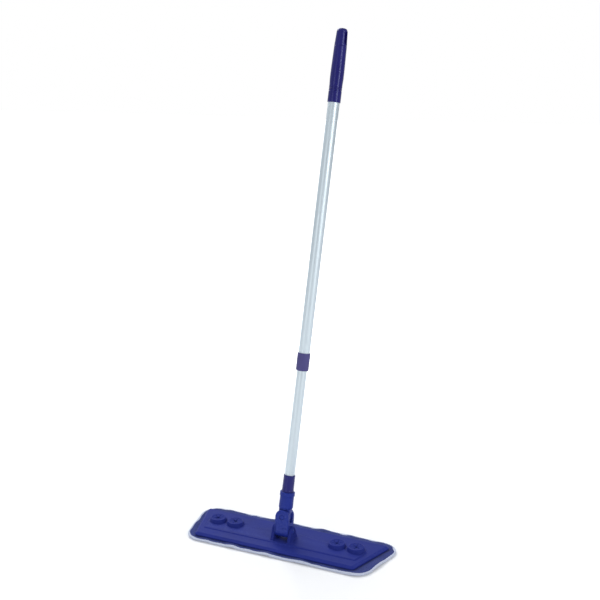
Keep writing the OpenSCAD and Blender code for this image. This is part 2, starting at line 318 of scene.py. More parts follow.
def lathe(profile: Array, axes: Axes = PART, segments: int = 96, closed: bool = False) -> Surface:
    """A profile of (radius, height) pairs turned about the local Z axis.

    Args:
        profile: Points (k, 2). An open profile starts and ends on the axis.
        axes: Frame that the profile turns in.
        segments: Points round each ring.
        closed: Whether the profile's end joins its start, as for a sleeve.

    Returns:
        The closed surface.
    """
    angle = np.linspace(0, TAU, segments, endpoint=False)
    radius, height = profile[:, 0, None], profile[:, 1, None]
    rings = np.stack(
        np.broadcast_arrays(radius * np.cos(angle), radius * np.sin(angle), height + 0 * angle), -1
    )
    return loft(axes.place(rings), caps=not closed, round_trip=closed)


def rod(radius: float, low: float, high: float, axes: Axes, segments: int) -> Surface:
    """A plain cylinder between two heights on the local Z axis."""
    return lathe(np.array([(0, low), (radius, low), (radius, high), (0, high)]), axes, segments)


def stack(half_x: Array, half_y: Array, heights: Array, corner: float, steps: int = 4) -> Array:
    """Rings of rounded rectangles, one on another.

    Args:
        half_x: Half size along X of each ring.
        half_y: Half size along Y of each ring.
        heights: Z of each ring.
        corner: Corner radius, cut down where a ring is smaller.
        steps: Pieces in each corner's arc.

    Returns:
        Rings (k, 4 * (steps + 1), 3).
    """
    radius = np.minimum(corner, np.minimum(half_x, half_y))
    turn = np.linspace(0, np.pi / 2, steps + 1)
    angle = (np.arange(4)[:, None] * np.pi / 2 + turn).ravel()
    sign_x = np.repeat([1, -1, -1, 1], steps + 1)
    sign_y = np.repeat([1, 1, -1, -1], steps + 1)
    x = sign_x * (half_x - radius)[:, None] + radius[:, None] * np.cos(angle)
    y = sign_y * (half_y - radius)[:, None] + radius[:, None] * np.sin(angle)
    return np.stack([x, y, np.broadcast_to(heights[:, None], x.shape)], -1)


def slab(low: Sequence[float], high: Sequence[float], corner: float = 2e-4) -> Surface:
    """A block between two corners with its edges rounded."""
    low, high = np.asarray(low, float), np.asarray(high, float)
    half, middle = (high - low) / 2, (high + low) / 2
    turn = np.linspace(0, np.pi / 2, 3)
    shrink = corner * (1 - np.sin(turn))
    rise = corner * (1 - np.cos(turn))
    inset = np.concatenate([shrink, shrink[::-1]])
    z = np.concatenate([-half[2] + rise, half[2] - rise[::-1]])
    return loft(stack(half[0] - inset, half[1] - inset, z, corner) + middle)


def scattered(template: Surface, places: Array, along: Array, up: Array) -> Surface:
    """Copies of a small surface, each with its X axis along one direction.

    Args:
        template: Surface round the origin.
        places: Places (n, 3) of the copies.
        along: Directions (n, 3) of each copy's X axis.
        up: Directions (n, 3) of each copy's Z axis.

    Returns:
        All the copies as one surface.
    """
    x, z = unit(along), unit(up)
    y = np.cross(z, x)
    turn = np.stack([x, y, z], 1)
    points = places[:, None] + np.einsum("pi,nij->npj", template.points, turn)
    count, size = points.shape[:2]
    offsets = (np.arange(count) * size)[:, None, None]
    faces = [(f[None] + offsets).reshape(-1, f.shape[1]) for f in template.faces]
    uvs = [np.tile(u, (count, 1, 1)) for u in template.uvs]
    return Surface(points.reshape(-1, 3), faces, uvs)


# ---------------------------------------------------------------------------
# Pieces
# ---------------------------------------------------------------------------


def linked(name: str, data: bpy.types.ID) -> bpy.types.Object:
    """A new object that shows some data, in the scene's collection."""
    made = bpy.data.objects.new(name, data)
    bpy.context.scene.collection.objects.link(made)
    return made


def square(name: str, half: float) -> bpy.types.Object:
    """A level square face about the origin."""
    mesh = bpy.data.meshes.new(name)
    corners = [(-half, -half, 0), (half, -half, 0), (half, half, 0), (-half, half, 0)]
    mesh.from_pydata(corners, [], [(0, 1, 2, 3)])
    return linked(name, mesh)


def shade(mesh: bpy.types.Mesh, sharp_deg: float) -> None:
    """Shades a mesh smooth but for edges that turn more than sharp_deg."""
    mesh.shade_smooth()
    mesh.set_sharp_from_angle(angle=math.radians(sharp_deg))


def make_object(name: str, surfaces: Sequence[Surface], sharp_deg: float = 34.0) -> bpy.types.Object:
    """Puts surfaces into one mesh object at the origin, smooth but for its sharp edges.

    Args:
        name: Name of the object.
        surfaces: Surfaces to join.
        sharp_deg: Edges that turn more than this stay sharp.

    Returns:
        The object, in the scene's collection.
    """
    faces: list[list[int]] = []
    uv_rows: list[Array] = []
    start = 0
    for surface in surfaces:
        for face, uv in zip(surface.faces, surface.uvs):
            faces.extend((face + start).tolist())
            uv_rows.append(uv.reshape(-1, 2))
        start += len(surface.points)
    mesh = bpy.data.meshes.new(name)
    mesh.from_pydata(np.concatenate([s.points for s in surfaces]).tolist(), [], faces)
    layer = mesh.uv_layers.new(name="UVMap")
    layer.data.foreach_set("uv", np.concatenate(uv_rows).astype(np.float32).ravel())
    tidy = bmesh.new()
    tidy.from_mesh(mesh)
    bmesh.ops.remove_doubles(tidy, verts=tidy.verts, dist=WELD)
    bmesh.ops.dissolve_degenerate(tidy, edges=tidy.edges, dist=WELD)
    tidy.to_mesh(mesh)
    tidy.free()
    shade(mesh, sharp_deg)
    return linked(name, mesh)


def freeze(target: bpy.types.Object, sharp_deg: float = 34.0) -> bpy.types.Object:
    """Applies the object's modifiers to its mesh."""
    graph = bpy.context.evaluated_depsgraph_get()
    graph.update()
    result = bpy.data.meshes.new_from_object(target.evaluated_get(graph))
    target.modifiers.clear()
    old, target.data = target.data, result
    bpy.data.meshes.remove(old)
    result.name = target.name
    shade(result, sharp_deg)
    return target


def carve(target: bpy.types.Object, cutters: Sequence[Surface], bevel: float = 0.0) -> bpy.types.Object:
    """Cuts closed surfaces out of an object and, if asked, rounds the new edges.

    Args:
        target: Object to cut.
        cutters: Closed surfaces to take away.
        bevel: Width of the rounding on edges sharper than 50 degrees, or 0.

    Returns:
        The same object, with its modifiers applied.
    """
    tool = make_object("cutter", cutters)
    cut = target.modifiers.new("cut", "BOOLEAN")
    cut.operation, cut.solver, cut.object, cut.use_self = "DIFFERENCE", "EXACT", tool, True
    freeze(target)
    bpy.data.objects.remove(tool)
    if bevel:
        soften = target.modifiers.new("soften", "BEVEL")
        soften.width, soften.segments, soften.limit_method = bevel, 2, "ANGLE"
        soften.angle_limit, soften.harden_normals = math.radians(50), False
        freeze(target)
    return target


# ---------------------------------------------------------------------------
# Shader node groups
# ---------------------------------------------------------------------------


class Graph:
    """Adds and links nodes in one node tree."""

    def __init__(self, tree: bpy.types.NodeTree) -> None:
        """Takes the tree to build in."""
        self.tree = tree

    def node(self, kind: str, inputs: dict | None = None, **settings) -> bpy.types.Node:
        """Adds a node.

        Args:
            kind: Blender's node type, without its "ShaderNode" start.
            inputs: Values or sockets for its inputs, by name or number.
            settings: The node's own properties.

        Returns:
            The node.
        """
        made = self.tree.nodes.new("ShaderNode" + kind)
        for key, value in settings.items():
            setattr(made, key, value)
        for key, value in (inputs or {}).items():
            if isinstance(value, bpy.types.NodeSocket):
                self.tree.links.new(value, made.inputs[key])
            else:
                made.inputs[key].default_value = value
        return made

    def math(self, operation: str, *values, clamp: bool = False) -> bpy.types.NodeSocket:
        """The result of a Math node on values or sockets."""
        made = self.node("Math", dict(enumerate(values)), operation=operation, use_clamp=clamp)
        return made.outputs[0]

    def times(self, *values, clamp: bool = False) -> bpy.types.NodeSocket:
        """Two values or sockets multiplied."""
        return self.math("MULTIPLY", *values, clamp=clamp)

    def plus(self, *values, clamp: bool = False) -> bpy.types.NodeSocket:
        """Two values or sockets added."""
        return self.math("ADD", *values, clamp=clamp)

    def noise(self, vector: bpy.types.NodeSocket, scale: float, detail: float = 3.0, rough: float = 0.5):
        """A Noise texture's value."""
        inputs = {"Vector": vector, "Scale": scale, "Detail": detail, "Roughness": rough}
        return self.node("TexNoise", inputs).outputs["Fac"]

    def stretched(self, vector: bpy.types.NodeSocket, scale: Sequence, turn: Sequence = (0, 0, 0)):
        """Coordinates turned, then scaled along each axis."""
        return self.node("Mapping", {"Vector": vector, "Scale": scale, "Rotation": turn}).outputs[0]

    def remap(self, value: bpy.types.NodeSocket, low: float, high: float, to_low: float, to_high: float):
        """The value with [low, high] carried to [to_low, to_high], and held there."""
        inputs = {0: value, 1: low, 2: high, 3: to_low, 4: to_high}
        return self.node("MapRange", inputs, clamp=True).outputs[0]

    def mix(self, factor, first, second) -> bpy.types.NodeSocket:
        """A mix of two colours."""
        return self.node("Mix", {0: factor, 6: first, 7: second}, data_type="RGBA").outputs[2]


class GroupKit:
    """The shared shader node groups, each built when a finish first asks for it."""

    @staticmethod
    def _start(name: str, inputs: Sequence[str], outputs: Sequence[str]) -> tuple[Graph, dict]:
        """A new group's graph and its input sockets: Vector, and a number for each name."""
        tree = bpy.data.node_groups.new(name, "ShaderNodeTree")
        for direction, labels in (("INPUT", ("Vector", *inputs)), ("OUTPUT", outputs)):
            for label in labels:
                kind = "NodeSocketVector" if label == "Vector" else "NodeSocketFloat"
                tree.interface.new_socket(name=label, in_out=direction, socket_type=kind)
        entry = tree.nodes.new("NodeGroupInput")
        return Graph(tree), {label: entry.outputs[label] for label in ("Vector", *inputs)}

    @staticmethod
    def _end(graph: Graph, outputs: dict[str, bpy.types.NodeSocket]) -> bpy.types.NodeTree:
        """Links a group's results to its output sockets and returns the group."""
        exit_node = graph.tree.nodes.new("NodeGroupOutput")
        for label, socket in outputs.items():
            graph.tree.links.new(socket, exit_node.inputs[label])
        return graph.tree

    @cached_property
    def moulded_grain(self) -> bpy.types.NodeTree:
        """Fine spark-eroded grain over slow waves of sink: Height in metres and a Patch mask."""
        g, at = self._start("moulded_grain", ("Depth",), ("Height", "Patch"))
        fine = g.noise(at["Vector"], 2400.0, 3.0, 0.6)
        sink = g.noise(at["Vector"], 38.0, 2.0)
        both = g.plus(fine, g.times(sink, 9.0))
        patch = g.remap(g.noise(at["Vector"], 14.0, 4.0, 0.6), 0.35, 0.7, 0.0, 1.0)
        return self._end(g, {"Height": g.times(both, at["Depth"]), "Patch": patch})

    @cached_property
    def scuffs(self) -> bpy.types.NodeTree:
        """Thin crossed scratches and rubbed corners: Scratch and Rub masks."""
        g, at = self._start("scuffs", ("Amount",), ("Scratch", "Rub"))
        lines = []
        for turn, scale in ((0.5, 160.0), (2.2, 210.0)):
            drawn = g.stretched(at["Vector"], (1.0, 26.0, 26.0), (0.3, 0.2, turn))
            lines.append(g.remap(g.noise(drawn, scale / 6, 2.0), 0.69, 0.73, 0.0, 1.0))
        scratch = g.times(g.math("MAXIMUM", *lines), at["Amount"], clamp=True)
        pointed = g.node("NewGeometry").outputs["Pointiness"]
        worn = g.remap(pointed, 0.52, 0.62, 0.0, 1.0)
        broken = g.remap(g.noise(at["Vector"], 260.0, 4.0, 0.7), 0.4, 0.6, 0.0, 1.0)
        rub = g.times(g.times(worn, broken), at["Amount"], clamp=True)
        return self._end(g, {"Scratch": scratch, "Rub": rub})

    @cached_property
    def woven(self) -> bpy.types.NodeTree:
        """Plain weave on UV: warp and weft are crossed sine ridges that swap over and under. Shade follows
        the same relief, low in the hollows between threads, and is used as painted shade.
        """
        g, at = self._start("woven", ("Threads", "Depth"), ("Height", "Shade"))
        place = g.node("SeparateXYZ", {0: at["Vector"]})
        turns = g.times(at["Threads"], math.pi)
        across = g.math("SINE", g.times(place.outputs[0], turns))
        along = g.math("SINE", g.times(place.outputs[1], turns))
        swap = g.times(across, along)
        warp = g.times(g.math("ABSOLUTE", across), g.remap(swap, -0.6, 0.6, 0.35, 1.0))
        weft = g.times(g.math("ABSOLUTE", along), g.remap(swap, -0.6, 0.6, 1.0, 0.35))
        top = g.math("MAXIMUM", warp, weft)
        slub = g.noise(at["Vector"], 900.0, 3.0, 0.7)
        ridge = g.plus(top, g.times(slub, 0.35))
        # Shade: high on the raised threads, low in the hollows between them; the tape uses it as painted
        # shade in its colour.
        shade = g.remap(top, 0.1, 1.0, 0.0, 1.0)
        return self._end(g, {"Height": g.times(ridge, at["Depth"]), "Shade": shade})

    @cached_property
    def loops(self) -> bpy.types.NodeTree:
        """Knitted loops and loose fibres: rounded cells broken up by stretched noise. Shade is high on the
        loop tops and low between loops, mixed with random fibre tone, and colours the cloth as painted light
        and shade.
        """
        g, at = self._start("loops", ("Size", "Depth"), ("Height", "Shade"))
        scale = g.math("DIVIDE", 1.0, at["Size"])
        bent = g.node("TexNoise", {"Vector": at["Vector"], "Scale": 420.0, "Detail": 2.0}).outputs["Color"]
        shift = g.node("VectorMath", {0: bent, 1: (0.0016, 0.0016, 0.0016)}, operation="MULTIPLY").outputs[0]
        moved = g.node("VectorMath", {0: at["Vector"], 1: shift}, operation="ADD").outputs[0]
        cells = g.node("TexVoronoi", {"Vector": moved, "Scale": scale, "Randomness": 0.75})
        bump = g.remap(cells.outputs["Distance"], 0.0, 0.75, 1.0, 0.0)
        hairs = g.noise(g.stretched(at["Vector"], (2.5, 1.0, 1.0), (0, 0, 0.6)), 1900.0, 4.0, 0.75)
        height = g.plus(bump, g.times(hairs, 0.9))
        # Shade: painted light on the loop tops and painted shade between loops, plus random fibre tone from
        # the hairs.
        shade = g.plus(g.times(bump, 0.5), g.times(hairs, 0.5))
        return self._end(g, {"Height": g.times(height, at["Depth"]), "Shade": shade})

    @cached_property
    def drawn_lines(self) -> bpy.types.NodeTree:
        """Fine lengthwise die lines on UV: noise stretched far along v."""
        g, at = self._start("drawn_lines", (), ("Line", "Cloud"))
        hair = g.noise(g.stretched(at["Vector"], (2600.0, 9.0, 1.0)), 1.0, 3.0, 0.7)
        band = g.noise(g.stretched(at["Vector"], (420.0, 2.0, 1.0)), 1.0, 2.0)
        line = g.plus(g.times(hair, 0.6), g.times(band, 0.4))
        cloud = g.noise(g.stretched(at["Vector"], (60.0, 14.0, 1.0)), 1.0, 4.0, 0.65)
        return self._end(g, {"Line": line, "Cloud": cloud})


GROUPS = GroupKit()


class Coordinates(Enum):
    """What a finish's pattern follows."""

    OBJECT = "Object"
    UV = "UV"


class MaterialBench:
    """One material's graph, with its Principled shader, ready to be wired."""

    def __init__(self, name: str, coordinates: Coordinates = Coordinates.OBJECT) -> None:
        """Makes the material and its shader."""
        self.material = bpy.data.materials.new(name)
        self.material.use_nodes = True
        self.graph = Graph(self.material.node_tree)
        self.shader = self.material.node_tree.nodes["Principled BSDF"]
        self.vector = self.graph.node("TexCoord").outputs[coordinates.value]

    def group(self, tree: bpy.types.NodeTree, **inputs) -> bpy.types.Node:
        """Places a shared group, reading this material's coordinates."""
        return self.graph.node("Group", {"Vector": self.vector, **inputs}, node_tree=tree)

    def set(self, **values) -> None:
        """Sets plain numbers and colours on the shader's own sockets."""
        for label, value in values.items():
            self.shader.inputs[label.replace("_", " ")].default_value = value

    def wire(self, label: str, socket: bpy.types.NodeSocket) -> None:
        """Feeds one of the shader's sockets."""
        self.graph.tree.links.new(socket, self.shader.inputs[label])

    def bump(self, height: bpy.types.NodeSocket, strength: float = 1.0) -> None:
        """Feeds Normal from a height in metres."""
        made = self.graph.node("Bump", {"Strength": strength, "Distance": 1.0, "Height": height})
        self.wire("Normal", made.outputs[0])


def rgba(colour: Colour, gain: float = 1.0) -> tuple[float, float, float, float]:
    """A linear colour times gain, with alpha 1."""
    return (*(min(1.0, c * gain) for c in colour), 1.0)


# ---------------------------------------------------------------------------
# Finishes
# ---------------------------------------------------------------------------


@dataclass(frozen=True)
class MouldedPlastic:
    """Injection-moulded plastic with fine grain, a few scuffs and rubbed edges."""

    name: str
    colour: Colour
    roughness: float
    grain: float
    scuff: float
    rubbed: Colour
    gloss: float = 0.5

    def build(self) -> bpy.types.Material:
        """Makes the material."""
        bench = MaterialBench(self.name)
        g = bench.graph
        grain = bench.group(GROUPS.moulded_grain, Depth=self.grain)
        scuffs = bench.group(GROUPS.scuffs, Amount=self.scuff)
        tone = g.mix(grain.outputs["Patch"], rgba(self.colour, 0.93), rgba(self.colour, 1.06))
        worn = g.mix(scuffs.outputs["Rub"], tone, rgba(self.rubbed))
        scratch = scuffs.outputs["Scratch"]
        bench.wire("Base Color", g.mix(g.times(scratch, 0.25), worn, rgba(self.rubbed)))
        patch = g.remap(grain.outputs["Patch"], 0.0, 1.0, self.roughness - 0.04, self.roughness + 0.06)
        bench.wire("Roughness", g.plus(patch, g.times(scratch, 0.12), clamp=True))
        cut = g.times(scratch, -6e-6)
        bench.bump(g.plus(grain.outputs["Height"], cut))
        bench.set(Specular_IOR_Level=self.gloss, Specular_Tint=(0.62, 0.68, 1.0, 1.0))
        return bench.material


@dataclass(frozen=True)
class SatinTube:
    """Satin anodised aluminium, drawn lengthwise."""

    name: str
    colour: Colour
    roughness: float

    def build(self) -> bpy.types.Material:
        """Makes the material."""
        bench = MaterialBench(self.name, Coordinates.UV)
        g = bench.graph
        lines = bench.group(GROUPS.drawn_lines)
        line = lines.outputs["Line"]
        bench.wire("Base Color", g.mix(line, rgba(self.colour, 0.90), rgba(self.colour, 1.08)))
        rough = g.remap(lines.outputs["Cloud"], 0.3, 0.7, self.roughness - 0.05, self.roughness + 0.07)
        bench.wire("Roughness", g.plus(rough, g.times(line, 0.05)))
        bench.bump(g.times(line, 5e-6))
        bench.set(Metallic=1.0)
        return bench.material


@dataclass(frozen=True)
class PlatedSteel:
    """Zinc-plated steel with a faint mottle."""

    name: str
    colour: Colour
    roughness: float

    def build(self) -> bpy.types.Material:
        """Makes the material."""
        bench = MaterialBench(self.name)
        g = bench.graph
        mottle = g.noise(bench.vector, 900.0, 4.0, 0.65)
        bench.wire("Base Color", g.mix(mottle, rgba(self.colour, 0.82), rgba(self.colour, 1.1)))
        bench.wire("Roughness", g.remap(mottle, 0.3, 0.7, self.roughness - 0.08, self.roughness + 0.1))
        bench.bump(g.times(mottle, 1.2e-5))
        bench.set(Metallic=1.0)
        return bench.material


@dataclass(frozen=True)
class WovenTape:
    """Woven tape: threads on the piece's own UV, darker in the weave's hollows as painted shade, with a
    little soiling.
    """

    name: str
    colour: Colour
    threads: float
    depth: float

    def build(self) -> bpy.types.Material:
        """Makes the material."""
        bench = MaterialBench(self.name, Coordinates.UV)
        g = bench.graph
        weave = bench.group(GROUPS.woven, Threads=self.threads, Depth=self.depth)
        # Painted shade: the colour falls to 0.62 of itself in the weave's hollows and rises on the raised
        # threads.
        thread = g.mix(weave.outputs["Shade"], rgba(self.colour, 0.62), rgba(self.colour, 1.08))
        place = g.node("TexCoord").outputs["Object"]
        soil = g.remap(g.noise(place, 45.0, 4.0, 0.6), 0.45, 0.75, 0.0, 0.35)
        bench.wire("Base Color", g.mix(soil, thread, rgba(self.colour, 0.78)))
        bench.wire("Roughness", g.remap(weave.outputs["Shade"], 0.0, 1.0, 0.95, 0.8))
        bench.bump(weave.outputs["Height"])
        bench.set(Sheen_Weight=0.25, Sheen_Roughness=0.5, Specular_IOR_Level=0.3)
        return bench.material


@dataclass(frozen=True)
class LoopCloth:
    """Knitted cloth with raised loops and loose fibres. The loop tops take the lighter tip colour as painted
    light and the gaps between loops keep the darker colour as painted shade, mixed with random fibre tone.
    """

    name: str
    colour: Colour
    # tip: the lighter colour on the loop tops, painted light
    tip: Colour
    size: float
    depth: float
    sheen: float

    def build(self) -> bpy.types.Material:
        """Makes the material."""
        bench = MaterialBench(self.name)
        g = bench.graph
        loops = bench.group(GROUPS.loops, Size=self.size, Depth=self.depth)
        pressed = g.remap(g.noise(bench.vector, 22.0, 4.0, 0.6), 0.35, 0.65, 0.86, 1.12)
        # Painted light and shade: lighter tip colour on the loop tops, darker colour between loops, with
        # random fibre tone.
        yarn_with_painted_shade = g.mix(g.remap(loops.outputs["Shade"], 0.2, 0.75, 0.0, 1.0), rgba(self.colour), rgba(self.tip))
        tone = g.node("HueSaturation", {"Value": pressed, "Color": yarn_with_painted_shade}).outputs[0]
        bench.wire("Base Color", tone)
        bench.wire("Roughness", g.remap(loops.outputs["Shade"], 0.0, 1.0, 1.0, 0.85))
        bench.bump(loops.outputs["Height"])
        bench.set(Sheen_Weight=self.sheen, Sheen_Roughness=0.45, Specular_IOR_Level=0.2)
        return bench.material


@dataclass(frozen=True)
class StudioFloor:
    """Plain pale floor with the faintest mottle; the camera sees it melt into the backdrop far away."""

    name: str = "studio_floor"
    colour: Colour = (0.93, 0.93, 0.935)
    near: float = 0.2
    far: float = 1.8

    def build(self) -> bpy.types.Material:
        """Makes the material."""
        bench = MaterialBench(self.name)
        g = bench.graph
        cloud = g.noise(bench.vector, 3.0, 2.0)
        bench.wire("Base Color", g.mix(cloud, rgba(self.colour, 0.995), rgba(self.colour)))
        away = g.node("VectorMath", {0: bench.vector}, operation="LENGTH").outputs["Value"]
        melt = g.remap(away, self.near, self.far, 0.10, 1.0)
        seen = g.node("LightPath").outputs["Is Camera Ray"]
        bench.wire("Emission Strength", g.times(melt, seen))
        bench.set(Roughness=0.9, Specular_IOR_Level=0.1, Emission_Color=(1, 1, 1, 1))
        return bench.material


Finish = MouldedPlastic | SatinTube | PlatedSteel | WovenTape | LoopCloth
# Painted shade: the plate's blue is set darker than the joint's blue, to offset the stronger light on the
# plate's top faces.
PLATE_BLUE_WITH_PAINTED_SHADE = MouldedPlastic(
    "plate_plastic", (0.019, 0.030, 0.225), 0.48, 2.2e-6, 0.4, (0.05, 0.07, 0.32), 0.10
)
JOINT_BLUE = MouldedPlastic(
    "joint_plastic", (0.019, 0.036, 0.285), 0.38, 1.8e-6, 0.4, (0.06, 0.08, 0.36), 0.26
)
NAVY = MouldedPlastic("navy_plastic", (0.011, 0.008, 0.150), 0.31, 1.4e-6, 0.5, (0.045, 0.04, 0.24), 0.60)
COLLAR_BLUE = MouldedPlastic(
    "collar_plastic", (0.092, 0.082, 0.245), 0.44, 2.4e-6, 0.5, (0.12, 0.115, 0.32), 0.30
)
SOFT_GRIP = MouldedPlastic("soft_grip", (0.017, 0.028, 0.21), 0.62, 3.0e-6, 0.2, (0.04, 0.06, 0.28), 0.1)
NYLON = MouldedPlastic("natural_nylon", (0.80, 0.79, 0.74), 0.45, 2.0e-6, 0.2, (0.86, 0.85, 0.81))
ALUMINIUM = SatinTube("satin_aluminium", (0.77, 0.86, 0.91), 0.45)
STEEL = PlatedSteel("plated_steel", (0.58, 0.59, 0.62), 0.32)
TAPE = WovenTape("binding_tape", (0.63, 0.68, 0.84), 1100.0, 1.6e-4)
HOOK_BASE = WovenTape("hook_tape", (0.030, 0.034, 0.060), 900.0, 1.0e-4)
BACKING = LoopCloth("pad_backing", (0.020, 0.030, 0.16), (0.058, 0.082, 0.29), 0.0011, 3.2e-4, 0.1)
FILLING = LoopCloth("pad_foam", (0.74, 0.75, 0.78), (0.86, 0.87, 0.88), 0.0016, 2.5e-4, 0.1)
PILE = LoopCloth("microfibre_pile", (0.10, 0.17, 0.45), (0.30, 0.40, 0.72), 0.0013, 5.0e-4, 0.4)


@cache
def material_of(finish: Finish) -> bpy.types.Material:
    """The material of a finish, built when it is first asked for."""
    return finish.build()


def dress(mesh: bpy.types.Mesh, finish: Finish) -> None:
    """Gives a mesh one finish."""
    mesh.materials.clear()
    mesh.materials.append(material_of(finish))


def finish_piece(piece: bpy.types.Object, body: str, finish: Finish, *replaced: str) -> bpy.types.Object:
    """Dresses a piece, lets it ride on its body and hides the CAD nodes it stands for.

    Args:
        piece: The finished object.
        body: CAD body that it moves with.
        finish: Its finish.
        replaced: CAD nodes that it stands for.

    Returns:
        The same piece.
    """
    dress(piece.data, finish)
    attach(piece, body)
    if replaced:
        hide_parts(*replaced)
    log.info("%s: %d faces on %s", piece.name, len(piece.data.polygons), body)
    return piece


def dress_nodes(nodes: Sequence[str], finish: Finish) -> None:
    """Gives CAD nodes that stay in view their finish."""
    for node in nodes:
        dress(frame["nodes"][node].data, finish)
        log.info("%s: CAD node dressed", node)


# ---------------------------------------------------------------------------
# Pad
# ---------------------------------------------------------------------------


@dataclass
class MopPad:
    """Microfibre pad: pile, filling and loop backing, bound by a stitched tape.

    The free rim ripples as a cloth does whose edge is a little longer than its
    bed. One cloth simulation gives that lift, and every layer takes it.
    """

    long_edge: float = 0.439
    short_edge: float = 0.378
    corner: float = 0.035
    tape: float = 0.006
    tuck: float = 0.003
    rim: float = 0.026
    around: int = 760
    across: int = 40

    def __post_init__(self) -> None:
        """Measures the pad's place and layers on its CAD nodes."""
        low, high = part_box("pad_binding")
        self.centre = np.array([(low.x + high.x) / 2, (low.y + high.y) / 2])
        self.depth = high.y - low.y
        names = ("pad_pile", "pad_core", "pad_backing", "pad_binding")
        self.levels = {n: (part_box(n)[0].z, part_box(n)[1].z) for n in names}
        self.edge, self.outward = self._outline()
        self.lift_grid = self._ripple()

    def _outline(self) -> tuple[Array, Array]:
        """The rounded trapezoid at even steps, and its outward unit normals."""
        ring = filleted(trapezoid(self.short_edge, self.long_edge, self.depth), self.corner, 40)
        ring = np.vstack([ring, ring[:1]])
        length = np.concatenate([[0], np.cumsum(np.linalg.norm(np.diff(ring, axis=0), axis=1))])
        at = np.linspace(0, length[-1], self.around, endpoint=False)
        edge = np.stack([np.interp(at, length, ring[:, i]) for i in (0, 1)], -1)
        tangent = unit(np.roll(edge, -1, 0) - np.roll(edge, 1, 0))
        self.perimeter = float(length[-1])
        return edge + self.centre, np.stack([tangent[:, 1], -tangent[:, 0]], -1)

    def _grid_place(self, x: Array, y: Array) -> tuple[Array, Array]:
        """Places as shares (s, t) of the trapezoid: t from short to long edge, s from side to side."""
        t = (y - self.centre[1]) / self.depth + 0.5
        half = (self.short_edge + (self.long_edge - self.short_edge) * t) / 2
        return (x - self.centre[0]) / half, t

    def _ripple(self) -> Array:
        """Lift (rows, columns) of the rim, by cloth simulation.

        The bed under the plate is pinned, the rim's rest length has grown a little in
        the wash, and gravity holds it to the floor, so it buckles up in waves.
        """
        columns, rows, last_frame = 113, 39, 30
        s, t = np.meshgrid(np.linspace(-1, 1, columns), np.linspace(0, 1, rows))
        y = (t - 0.5) * self.depth
        half = (self.short_edge + (self.long_edge - self.short_edge) * t) / 2
        x = s * half
        inside = np.minimum(np.minimum(y + self.depth / 2, self.depth / 2 - y), half - np.abs(x))
        loose = 1 - smooth(inside / self.rim)
        rng = np.random.default_rng(11)
        start = np.zeros_like(x)
        wave_height, fold_height, fold_at, fold_width = 2.5e-4, 3.5e-3, -0.052, 0.02
        for waves in rng.uniform(5, 16, 6):
            start += wave_height * (1 + np.sin(waves * TAU * (x + y) + rng.uniform(0, TAU)))
        start += fold_height * np.exp(-(((x - fold_at) / fold_width) ** 2)) * (y > 0)
        start *= loose
        points = np.stack([x, y, start], -1).reshape(-1, 3)
        number = np.arange(rows * columns).reshape(rows, columns)
        corners = [number[:-1, :-1], number[:-1, 1:], number[1:, 1:], number[1:, :-1]]
        quads = np.stack(corners, -1).reshape(-1, 4)
        mesh = bpy.data.meshes.new("pad_sheet")
        mesh.from_pydata(points.tolist(), [], quads.tolist())
        sheet = linked("pad_sheet", mesh)
        pins, firm = sheet.vertex_groups.new(name="bed"), sheet.vertex_groups.new(name="firm")
        for index, share in enumerate(loose.ravel().tolist()):
            pins.add([index], 1.0 - min(1.0, share * 1.6), "REPLACE")
            firm.add([index], 1.0 - share, "REPLACE")
        bench = self._bench_top()
        cloth = sheet.modifiers.new("cloth", "CLOTH")
        rules = cloth.settings
        rules.quality, rules.mass = 8, 0.0015
        rules.tension_stiffness, rules.compression_stiffness = 25.0, 25.0
        rules.shear_stiffness, rules.bending_stiffness = 10.0, 0.1
        rules.air_damping = 0.02
        rules.vertex_group_mass, rules.pin_stiffness = "bed", 1.0
        rules.vertex_group_shrink, rules.shrink_min, rules.shrink_max = "firm", -0.02, 0.0
        cloth.collision_settings.distance_min = 0.001
        cloth.point_cache.frame_end = last_frame
        for step in range(1, last_frame + 1):
            bpy.context.scene.frame_set(step)
        graph = bpy.context.evaluated_depsgraph_get()
        settled = mesh_points(sheet.evaluated_get(graph).data)
        bpy.context.scene.frame_set(1)
        for used in (sheet, bench):
            bpy.data.objects.remove(used)
        lift = settled[:, 2].reshape(rows, columns)
        lowest, highest = -2e-4, 5.5e-3
        lift = np.clip(lift, lowest, highest) * smooth(loose * 2.2)
        for axis in (0, 1, 0, 1):
            lift = (np.roll(lift, 1, axis) + 2 * lift + np.roll(lift, -1, axis)) / 4 * (loose > 0)
        log.info("rim lift from %.2f to %.2f mm", lift.min() / MM, lift.max() / MM)
        return lift

    @staticmethod
    def _bench_top() -> bpy.types.Object:
        """A plane just under the sheet for it to rest on while it settles."""
        top = square("bench_top", 0.6)
        for corner in top.data.vertices:
            corner.co.z = -0.0021
        top.modifiers.new("collision", "COLLISION")
        top.collision.thickness_outer = 0.001
        return top

    def lift(self, x: Array, y: Array) -> Array:
        """The rim's lift at places, by bilinear reading of the settled grid."""
        s, t = self._grid_place(x, y)
        rows, columns = self.lift_grid.shape
        column = np.clip((s + 1) / 2 * (columns - 1), 0, columns - 1.001)
        row = np.clip(t * (rows - 1), 0, rows - 1.001)
        c0, r0 = column.astype(int), row.astype(int)
        fc, fr = column - c0, row - r0
        grid = self.lift_grid
        near = grid[r0, c0] * (1 - fc) + grid[r0, c0 + 1] * fc
        far = grid[r0 + 1, c0] * (1 - fc) + grid[r0 + 1, c0 + 1] * fc
        return near * (1 - fr) + far * fr

